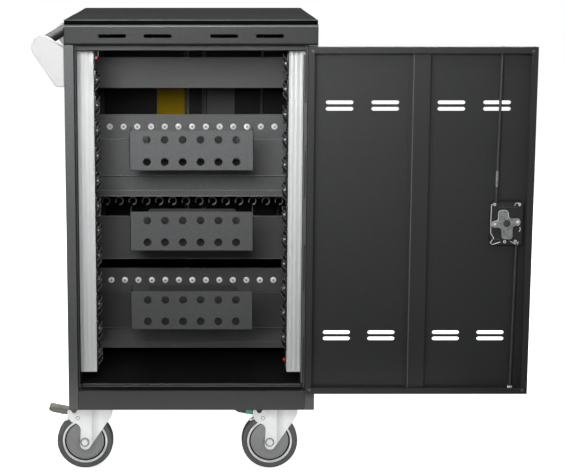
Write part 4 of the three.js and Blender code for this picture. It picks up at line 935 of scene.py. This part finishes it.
def build_cam(face, place):
    """Four-armed cam with a nut in its middle, a rivet in each side arm and a bright rim as a
    painted highlight.
    """
    body = f"{face}_lock"
    bm = bmesh.new()
    plate(bm, on_lock(CAM_OUTLINE), "y", CAM_NEAR, CAM_NEAR + CAM_SHEET)
    drum(bm, CAM_SHAFT, CAM_SHAFT_END, CAM_NEAR + 1, (LOCK_X, 0, LOCK_Z), "y", 24)
    piece(f"{face}_cam", bm, CAM_STEEL, body, place, [f"{face}_lock_cam"], bevel=0.6)
    bm = bmesh.new()
    lathe(bm, NUT, (LOCK_X, CAM_NEAR, LOCK_Z), "y", 6)
    lathe(bm, WASHER, (LOCK_X, CAM_NEAR, LOCK_Z), "y", 28)
    piece(f"{face}_cam_nut", bm, ROD_STEEL, body, place, bevel=0.4)
    bm = bmesh.new()
    for x, z in on_lock(CAM_RIVETS):
        lathe(bm, CAM_RIVET, (x, CAM_NEAR, z), "y", 16)
    # Bright zinc bars along parts of the cam's edge: painted highlights.
    for part in CAM_HIGHLIGHT_RIM:
        lock_wire(bm, part, CAM_HIGHLIGHT_Y, CAM_HIGHLIGHT_RADIUS, 8)
    piece(f"{face}_cam_rivets", bm, ZINC, body, place)


LEVER_BASE = -300.6
LEVER_HUB = [(0, 0), (17, 0), (17, 9), (15.5, 11.5), (13, 12.4), (0, 12.4)]
LEVER_GRIP = (88, 16)
LEVER_UNDER, LEVER_FACE = LEVER_BASE - 12, LEVER_BASE - 23
BARREL = [(0, 23.6), (5.4, 23.6), (6.2, 23), (6.2, 21), (0, 21)]
KEYHOLE = (6.4, 1.4)


def build_lever(face, place):
    """Round-ended lever on a turned hub, with a plain key barrel in its middle."""
    body = f"{face}_lock"
    base = (LOCK_X, LEVER_BASE, LOCK_Z)
    bm = bmesh.new()
    lathe(bm, facing(-1, LEVER_HUB), base, "y")
    grip = slot_outline(LOCK_X, LOCK_Z, *LEVER_GRIP, 10)
    plate(bm, grip, "y", LEVER_FACE, LEVER_UNDER)
    piece(
        f"{face}_lever", bm, BLACK, body, place, [f"{face}_lock_handle"],
        bevel=2.2, segments=3,
    )
    bm = bmesh.new()
    lathe(bm, facing(-1, BARREL), base, "y", 32)
    piece(f"{face}_key_barrel", bm, CAM_STEEL, body, place)
    # A near-black plate where the keyhole is: painted shade of the hole.
    bm = bmesh.new()
    keyhole = slot_outline(LOCK_X, LOCK_Z, *KEYHOLE, 4)
    plate(bm, keyhole, "y", LEVER_FACE - 0.8, LEVER_FACE + 1)
    piece(f"{face}_key_slot", bm, BLACK_RUBBER_AND_SHADE, body, place)


ROD_RADIUS, ROD_LEAN = 3, 5
ROD_START = 11
GLINT_RADIUS = 3.05
GLINT_BOTTOM, GLINT_TOP = 664, 699
RIDGE_X, RIDGE_Y, RIDGE_RADIUS = STIFFENER_X + 17.9, -285.2, 1.3
GUIDE_X, GUIDE_STEM_HALF, GUIDE_STEM_FAR = LOWER_ROD_X - 0.2, 3, ROD_Y - 3.8
GUIDE_FOOT = DOOR_BOTTOM + RIM_MIDDLE
GUIDE_RING = [(3.5, 0), (5.0, 0), (5.4, 1), (5.4, 6), (4.8, 7), (3.5, 7)]
RIM_FACE = -HALF_DEPTH + 25
RIM_RIVET = [(0, 0.9), (2.4, 0.8), (3.6, 0.3), (3.6, -0.5), (0, -0.5)]
RIM_RIVET_X = (-239, 229)


def build_rods(face, place):
    """Bolt rods, the upper one with a lighter band as a painted highlight, a guide, the stiffener's
    bright edge as a painted highlight and the rivets of the rim.
    """
    door = f"{face}_door"
    low, high = DOOR_BOTTOM + RIM_MIDDLE, DOOR_TOP - RIM_MIDDLE
    top = DOOR_TOP + 1
    rods = (("upper", UPPER_ROD_X, 1, top), ("lower", LOWER_ROD_X, -1, DOOR_BOTTOM - 1))
    for name, x, end, tip in rods:
        bm = bmesh.new()
        start = (x + end * ROD_LEAN, ROD_Y, LOCK_Z - end * ROD_START)
        tube(bm, [start, (x, ROD_Y, tip)], ROD_RADIUS, 20)
        piece(
            f"{face}_{name}_bar", bm, ROD_STEEL, f"{face}_{name}_bolt", place,
            [f"{face}_{name}_rod"], bevel=0.8,
        )
    # A lighter band on the upper rod: a painted highlight.
    bm = bmesh.new()
    lean = ROD_LEAN / (top + ROD_START - LOCK_Z)
    glint_path = [(UPPER_ROD_X + lean * (top - z), ROD_Y, z) for z in (GLINT_BOTTOM, GLINT_TOP)]
    tube(bm, glint_path, GLINT_RADIUS, 20)
    piece(f"{face}_rod_glint", bm, CAM_STEEL, f"{face}_upper_bolt", place, bevel=0.1)
    # Bar along the stiffener's edge in the lighter coat: a painted highlight.
    bm = bmesh.new()
    tube(bm, [(RIDGE_X, RIDGE_Y, low), (RIDGE_X, RIDGE_Y, high)], RIDGE_RADIUS, 10)
    piece(f"{face}_stiffener_edge", bm, FOLD_HIGHLIGHT_COAT, door, place)
    bm = bmesh.new()
    lathe(bm, GUIDE_RING, (GUIDE_X, ROD_Y, GUIDE_FOOT), "z", 24, True)
    stem = (LOWER_ROD_X - GUIDE_STEM_HALF, LOWER_ROD_X + GUIDE_STEM_HALF)
    box(bm, *stem, DOOR_INSIDE, GUIDE_STEM_FAR, GUIDE_FOOT + 2, GUIDE_FOOT + 4)
    piece(f"{face}_rod_guide", bm, SCREW, door, place)
    bm = bmesh.new()
    for x in RIM_RIVET_X:
        for z in (low, high):
            lathe(bm, RIM_RIVET, (x, RIM_FACE, z), "y", 20)
    piece(f"{face}_rim_rivets", bm, COAT, door, place)


# Casters

TRAIL = -33
TYRE_HALF = [
    (51.4, 12.6), (52.6, 14.2), (55, 15.2), (58.3, 15.8), (60.6, 15.2), (62.4, 13.2),
    (63.3, 10.4), (63.5, 7.5),
]
RING_HALF = [(46.2, 10), (46.4, 13.2), (47.4, 14.1), (49.8, 14.1), (50.9, 13.4), (51.2, 10)]
GROOVE_HALF = [(43.2, 7), (43.3, 9.6), (46.4, 9.6), (46.5, 7)]
HUB_HALF = [
    (5.35, 16.2), (12, 16.2), (13, 15.4), (14.5, 11), (18, 9.6), (36, 10.2), (41.4, 11.4),
    (42.9, 11.0), (43.4, 9),
]


def build_wheel(corner, x, y):
    """Soft tyre, white ring, near-black ring in the groove as painted shade, and dished hub."""
    place = Matrix.Translation((x + TRAIL, y, AXLE_Z))
    rings = (
        ("tyre", TYRE, "tyre_rubber", TYRE_HALF, [f"{corner}_caster_tyre"], 60),
        ("rim_ring", RING, "wheel_plastic", RING_HALF, [], 60),
        ("groove", BLACK_RUBBER_AND_SHADE, "wheel_plastic", GROOVE_HALF, [], 60),
        ("hub", HUB, "wheel_plastic", HUB_HALF, [f"{corner}_caster_hub"], 40),
    )
    for name, skin, slot, half, stands_for, sharp in rings:
        bm = bmesh.new()
        lathe(bm, half + facing(-1, half[::-1]), (0, 0, 0), "y", 96, True)
        piece(f"{corner}_{name}", bm, skin, f"{corner}_wheel", place, stands_for, sharp=sharp)


FORK_INNER, FORK_OUTER = 17, 20
CROWN_BOTTOM, CROWN_TOP = 141.4, 145.4
CROWN_RADIUS, CROWN_TURN, CROWN_REAR = 30, 38, -46
BEND_X, BEND_ANGLE = -17, 3.5
LEG_REAR = [
    (BEND_X, CROWN_TOP), (CROWN_REAR, CROWN_TOP), (-50, 138), (-53, 132.5), (-57, 131),
    (-61, 132.5), (-63, 137), (-67, 139.5), (-71, 138), (-72, 133), (-70.5, 123.5),
    (-67.6, 116.4), (-63, 111), (-57.5, 108.3), (-51, 106.4), (-46, 103), (-43.4, 98),
    (-42.2, 92), (-44, 60),
]
LEG_FOOT = arc(-32, 57.5, 12.2, 180, 310, 8)
LEG_TOE = LEG_FOOT[-1]
LEG_SHOULDER = (27, 122)
LEG_SLOPE = (LEG_SHOULDER[1] - LEG_TOE[1]) / (LEG_SHOULDER[0] - LEG_TOE[0])
LEG_SPLIT = (BEND_X, LEG_TOE[1] + LEG_SLOPE * (BEND_X - LEG_TOE[0]))
LEG_FRONT = [LEG_SPLIT, LEG_SHOULDER, (30, 130), (30, CROWN_TOP), (BEND_X, CROWN_TOP)]
AXLE_HEAD = [(0, 0), (8.0, 0), (8.0, 3.8), (6.8, 5), (0, 5)]
AXLE_RADIUS, AXLE_WASHER, AXLE_WASHER_SHEET = 4.9, 10.6, 1.3
RIVET_X, RIVET_Z, RIVET_WASHER, RIVET_WASHER_SHEET = -48.5, 120, 4.6, 0.6
RIVET_DOME = [(0, 0), (3.4, 0), (3.3, 1.0), (2.4, 1.9), (0, 2.2)]
BEARING = [(0, -0.2), (29, -0.2), (29.6, 1.6), (27.5, 4.6), (24.6, 6.6), (24.5, 1), (0, 0.1)]
BRAKE_BAR = [(-66, -FORK_INNER - 1, 117), (-66, FORK_INNER + 1, 117)]
BRAKE_SPRING = [(-66, -10, 117), (-74, -10, 114), (-79, -10, 113)]
BRAKE_WIRE = 2.4


def build_fork(corner, x, y):
    """Pressed fork: legs with a crease, a crown, bearing ring, rivets and the axle's hex heads."""
    place = Matrix.Translation((x, y, 0))
    body = f"{corner}_fork"
    bm, front, fittings = bmesh.new(), bmesh.new(), bmesh.new()
    for side in (-1, 1):
        low, high = span(side * FORK_INNER, side * FORK_OUTER)
        plate(bm, LEG_REAR + LEG_FOOT + [LEG_SPLIT], "y", low, high)
        known = set(front.verts)
        plate(front, LEG_FRONT, "y", low, high)
        turned = [v for v in front.verts if v not in known]
        turn = Matrix.Rotation(math.radians(-side * BEND_ANGLE), 3, "Z")
        crease = (BEND_X, side * FORK_OUTER, 0)
        bmesh.ops.rotate(front, verts=turned, cent=crease, matrix=turn)
        outside = side * (FORK_OUTER - 0.1)
        axle, rivet = (TRAIL, outside, AXLE_Z), (RIVET_X, outside, RIVET_Z)
        drum(fittings, AXLE_WASHER, 0, side * AXLE_WASHER_SHEET, axle, "y", 32)
        lathe(bm, facing(side, AXLE_HEAD), axle, "y", 6)
        drum(fittings, RIVET_WASHER, 0, side * RIVET_WASHER_SHEET, rivet, "y", 20)
        lathe(bm, facing(side, RIVET_DOME), rivet, "y", 20)
    crown = arc(0, 0, CROWN_RADIUS, -CROWN_TURN, CROWN_TURN, 10)
    crown += [(CROWN_REAR, FORK_INNER + 1), (CROWN_REAR, -FORK_INNER - 1)]
    plate(bm, crown, "z", CROWN_BOTTOM, CROWN_TOP)
    lathe(fittings, BEARING, (0, 0, CROWN_TOP), "z")
    drum(bm, AXLE_RADIUS, -FORK_OUTER, FORK_OUTER, (TRAIL, 0, AXLE_Z), "y", 24)
    if corner.startswith("rear"):
        tube(bm, BRAKE_BAR, BRAKE_WIRE, 12)
        tube(bm, BRAKE_SPRING, BRAKE_WIRE, 12)
    piece(
        f"{corner}_fork_legs", bm, ZINC, body, place, [f"{corner}_caster_fork"],
        bevel=0.7,
    )
    # The front of each leg carries painted shade next to the crease.
    piece(f"{corner}_fork_front", front, CREASE_SHADE_ZINC, body, place, bevel=0.7)
    piece(f"{corner}_fork_fittings", fittings, FITTING_STEEL, body, place)


MOUNT_HALVES = (40.4, 36.4)
MOUNT_BOTTOM, MOUNT_TOP = 153.3, 157.9
BOLT_X, BOLT_Y = (-31, 31), (-27, 27)
BOLT_HEAD = [(0, 149.6), (4.6, 149.6), (5.4, 150.4), (5.4, 153.6), (0, 153.6)]


def build_caster_plates():
    """Bright plates under the base, each held by four bolts."""
    bm = bmesh.new()
    for x, y in CORNERS.values():
        plate(bm, pad(x, y, MOUNT_HALVES, 5), "z", MOUNT_BOTTOM, MOUNT_TOP)
        for u in BOLT_X:
            for v in BOLT_Y:
                lathe(bm, BOLT_HEAD, (x + u, y + v, 0), "z", 6)
    piece("caster_mounts", bm, ZINC, bevel=0.5)


PEDAL_Z = 131.4
PEDAL_HALF = 16.3
PEDAL_OUTLINE = [
    *arc(-49, PEDAL_Z, 4.5, -90, 90, 6),
    (-60, PEDAL_Z + 5.5), (-92, PEDAL_Z + 11),
    *arc(-108.5, PEDAL_Z + 9.5, 5.4, 100, 240, 8),
    (-104, PEDAL_Z + 1), (-66, PEDAL_Z - 5.5),
]
PIN_X, PIN_RADIUS, PIN_HALF = -52, 2.6, 20
GRIP_HALVES, GRIP_HEIGHT = (1.3, 13), 3
GRIPS = [(-104 + i * 6, PEDAL_Z + 14.2 - i * 0.9) for i in range(4)]
TAB_OUTLINE = rounded_box(-87, -73.5, PEDAL_Z - 2.6, PEDAL_Z + 6.5, 2)
TAB_SIDES, TAB_SHEET = (-17.4, 15.4), 2


def build_pedal(corner, skin, tab):
    """Foot lever with a raised, ribbed tip and a tab on each side."""
    place = Matrix.Translation((*CORNERS[corner], 0))
    body = f"{corner}_brake"
    bm = bmesh.new()
    plate(bm, PEDAL_OUTLINE, "y", -PEDAL_HALF, PEDAL_HALF)
    drum(bm, PIN_RADIUS, -PIN_HALF, PIN_HALF, (PIN_X, 0, PEDAL_Z), "y", 16)
    piece(
        f"{corner}_pedal", bm, skin, body, place, [f"{corner}_brake_pedal"],
        bevel=2, segments=3,
    )
    bm = bmesh.new()
    for u, rise in GRIPS:
        plate(bm, pad(u, 0, GRIP_HALVES, 1.2, 3), "z", rise - GRIP_HEIGHT, rise)
    piece(f"{corner}_pedal_grip", bm, tab, body, place, bevel=0.5)
    bm = bmesh.new()
    for near in TAB_SIDES:
        plate(bm, TAB_OUTLINE, "y", near, near + TAB_SHEET)
    piece(f"{corner}_pedal_tab", bm, tab, body, place, bevel=0.5)


# Inside of the far door

LINER_LEVELS = [DOOR_TOP - 134, DOOR_TOP - 120, DOOR_BOTTOM + 120, DOOR_BOTTOM + 134]
LINER_HALVES = (
    (-237, STIFFENER_X - 28, VENT_X[:2]),
    (STIFFENER_X + 28, 227, VENT_X[2:]),
)
LINER_SLOT = (62, 10)
LINER_NEAR, LINER_FAR, LINER_INSET = -298.45, -298.25, 12
WEB_LEFT, WEB_RIGHT = STIFFENER_X - 16.5, STIFFENER_X + 15
WEB_NEAR, WEB_FAR, WEB_INSET = -285.6, -285.0, 10
CARD_BOTTOM, CARD_TOP = 735, 825
CARD_SHEET = 0.4
CARDS = (("left", CARD, 22, 92), ("right", DARK_CARD, -105, -35))


def build_cards():
    """Near-black sheet over the inside of the front door as painted shade, with two plain blank
    cards on it.
    """
    bm = bmesh.new()
    for x0, x1, columns in LINER_HALVES:
        slots = [slot_outline(x, z, *LINER_SLOT) for x in columns for z in LINER_LEVELS]
        outline = rounded_box(x0, x1, DOOR_BOTTOM + LINER_INSET, DOOR_TOP - LINER_INSET, 3)
        plate(bm, outline, "y", LINER_NEAR, LINER_FAR, slots)
    web = rounded_box(WEB_LEFT, WEB_RIGHT, DOOR_BOTTOM + WEB_INSET, DOOR_TOP - WEB_INSET, 2)
    plate(bm, web, "y", WEB_NEAR, WEB_FAR)
    piece("front_door_shade_liner", bm, SHADE_LINER_COAT, "front_door", HALF_TURN)
    for name, skin, x0, x1 in CARDS:
        bm = bmesh.new()
        card = rounded_box(x0, x1, CARD_BOTTOM, CARD_TOP, 2)
        plate(bm, card, "y", DOOR_INSIDE, DOOR_INSIDE + CARD_SHEET)
        piece(f"{name}_blank_card", bm, skin, "front_door", HALF_TURN)


def build_cart():
    """All pieces of the cart, from its top to its casters."""
    build_lid()
    for face, place in FACES.items():
        build_rail(face, place)
    build_handle()
    for name, top in CARRIER_TOPS.items():
        build_basket(name, top)
    for name, deck in SHELF_TOPS.items():
        build_screws(name, deck)
    build_clips()
    for side in (-1, 1):
        build_pdu(side)
    for face, place in DOORS.items():
        build_hinges(face, place)
        build_gap_shades(face, FACES[face])
        build_lock(face, place)
    for corner, (x, y) in CORNERS.items():
        build_wheel(corner, x, y)
        build_fork(corner, x, y)
    build_caster_plates()
    build_lips()
    build_pedal("rear_left", PEDAL, PEDAL)
    build_pedal("rear_right", DARK_PEDAL, TEAL)
    build_cards()


# Stage, light and camera, in metres

FLOOR_HALF, FLOOR_BOTTOM, FLOOR_TOP = 9000, -20, -0.2


def build_stage():
    """Pale floor that neither reflects nor tints the cart."""
    bm = bmesh.new()
    box(bm, -FLOOR_HALF, FLOOR_HALF, -FLOOR_HALF, FLOOR_HALF, FLOOR_BOTTOM, FLOOR_TOP)
    bm.transform(TO_METRES)
    mesh = bpy.data.meshes.new("floor")
    bm.to_mesh(mesh)
    bm.free()
    floor = add("floor", mesh)
    mesh.materials.append(surface(
        "pale_floor", (0.9, 0.9, 0.9), 0.8, spread=0.01, grain=3, bump=0.0, patch_spread=0.01,
        Specular_IOR_Level=0.0, Emission_Color=FULL, Emission_Strength=0.82,
    ))
    floor.visible_diffuse = False
    floor.visible_glossy = False


SKY_LIGHT = 0.24


def build_world():
    """White surroundings, dimmer as a light than as a background."""
    world = bpy.data.worlds.new("studio")
    bpy.context.scene.world = world
    world.use_nodes = True
    tree = world.node_tree
    sky = tree.nodes["Background"]
    put(sky, Color=FULL)
    path = tree.nodes.new("ShaderNodeLightPath")
    level = tree.nodes.new("ShaderNodeMapRange")
    put(level, To_Min=SKY_LIGHT, To_Max=1.0)
    tree.links.new(path.outputs["Is Camera Ray"], level.inputs["Value"])
    tree.links.new(level.outputs["Result"], sky.inputs["Strength"])


PHOTO_WIDTH = 565
FOCAL_PIXELS, PITCH = 1539.2, 9.393
SENSOR = 36
LENS_SHIFT = (0.137, -0.075)
STANDPOINT = (30.2, -3600, 1188.4)


def build_camera():
    """Camera fitted to points of the photograph."""
    lens = bpy.data.cameras.new("camera")
    lens.sensor_width = SENSOR
    lens.lens = FOCAL_PIXELS / PHOTO_WIDTH * SENSOR
    lens.shift_x, lens.shift_y = LENS_SHIFT
    camera = add("camera", lens)
    camera.location = TO_FRAME @ Vector(STANDPOINT)
    camera.rotation_euler = (math.radians(90 - PITCH), 0, 0)
    bpy.context.scene.camera = camera


# Each light's place, aim, size, power in watts and spread in degrees
LIGHTS = {
    "key": ((-0.45, -2.2, 1.36), (-0.15, -0.3, 1.02), (1.0, 0.6), 6.6, 68),
    "low": ((-0.25, -2.0, 0.12), (-0.2, -0.25, 0.10), (1.2, 0.12), 0.30, 11),
    "top": ((-0.2, -1.25, 2.4), (-0.2, -0.25, 0.9), (1.6, 0.14), 9, 180),
    "left": ((-3.2, 0.7, 1.9), (-0.2, 0.1, 0.6), (1.8, 1.6), 45, 180),
    "right": ((3.2, 0.9, 1.9), (0.0, 0.1, 0.6), (1.8, 1.6), 45, 180),
    "back": ((0.2, 3.2, 2.0), (0, 0.2, 0.6), (2.4, 1.6), 70, 180),
}


def build_lights():
    """Rectangular lights, each aimed at a point of the cart."""
    for name, (place, aim, size, power, spread) in LIGHTS.items():
        light = bpy.data.lights.new(name, "AREA")
        light.shape = "RECTANGLE"
        light.size, light.size_y = size
        light.energy = power
        light.spread = math.radians(spread)
        lamp = add(name, light)
        lamp.location = place
        aimed = (Vector(aim) - Vector(place)).to_track_quat("-Z", "Y")
        lamp.rotation_euler = aimed.to_euler()


build_cart()
build_stage()
build_world()
build_camera()
build_lights()
bpy.context.scene.view_settings.view_transform = "Standard"
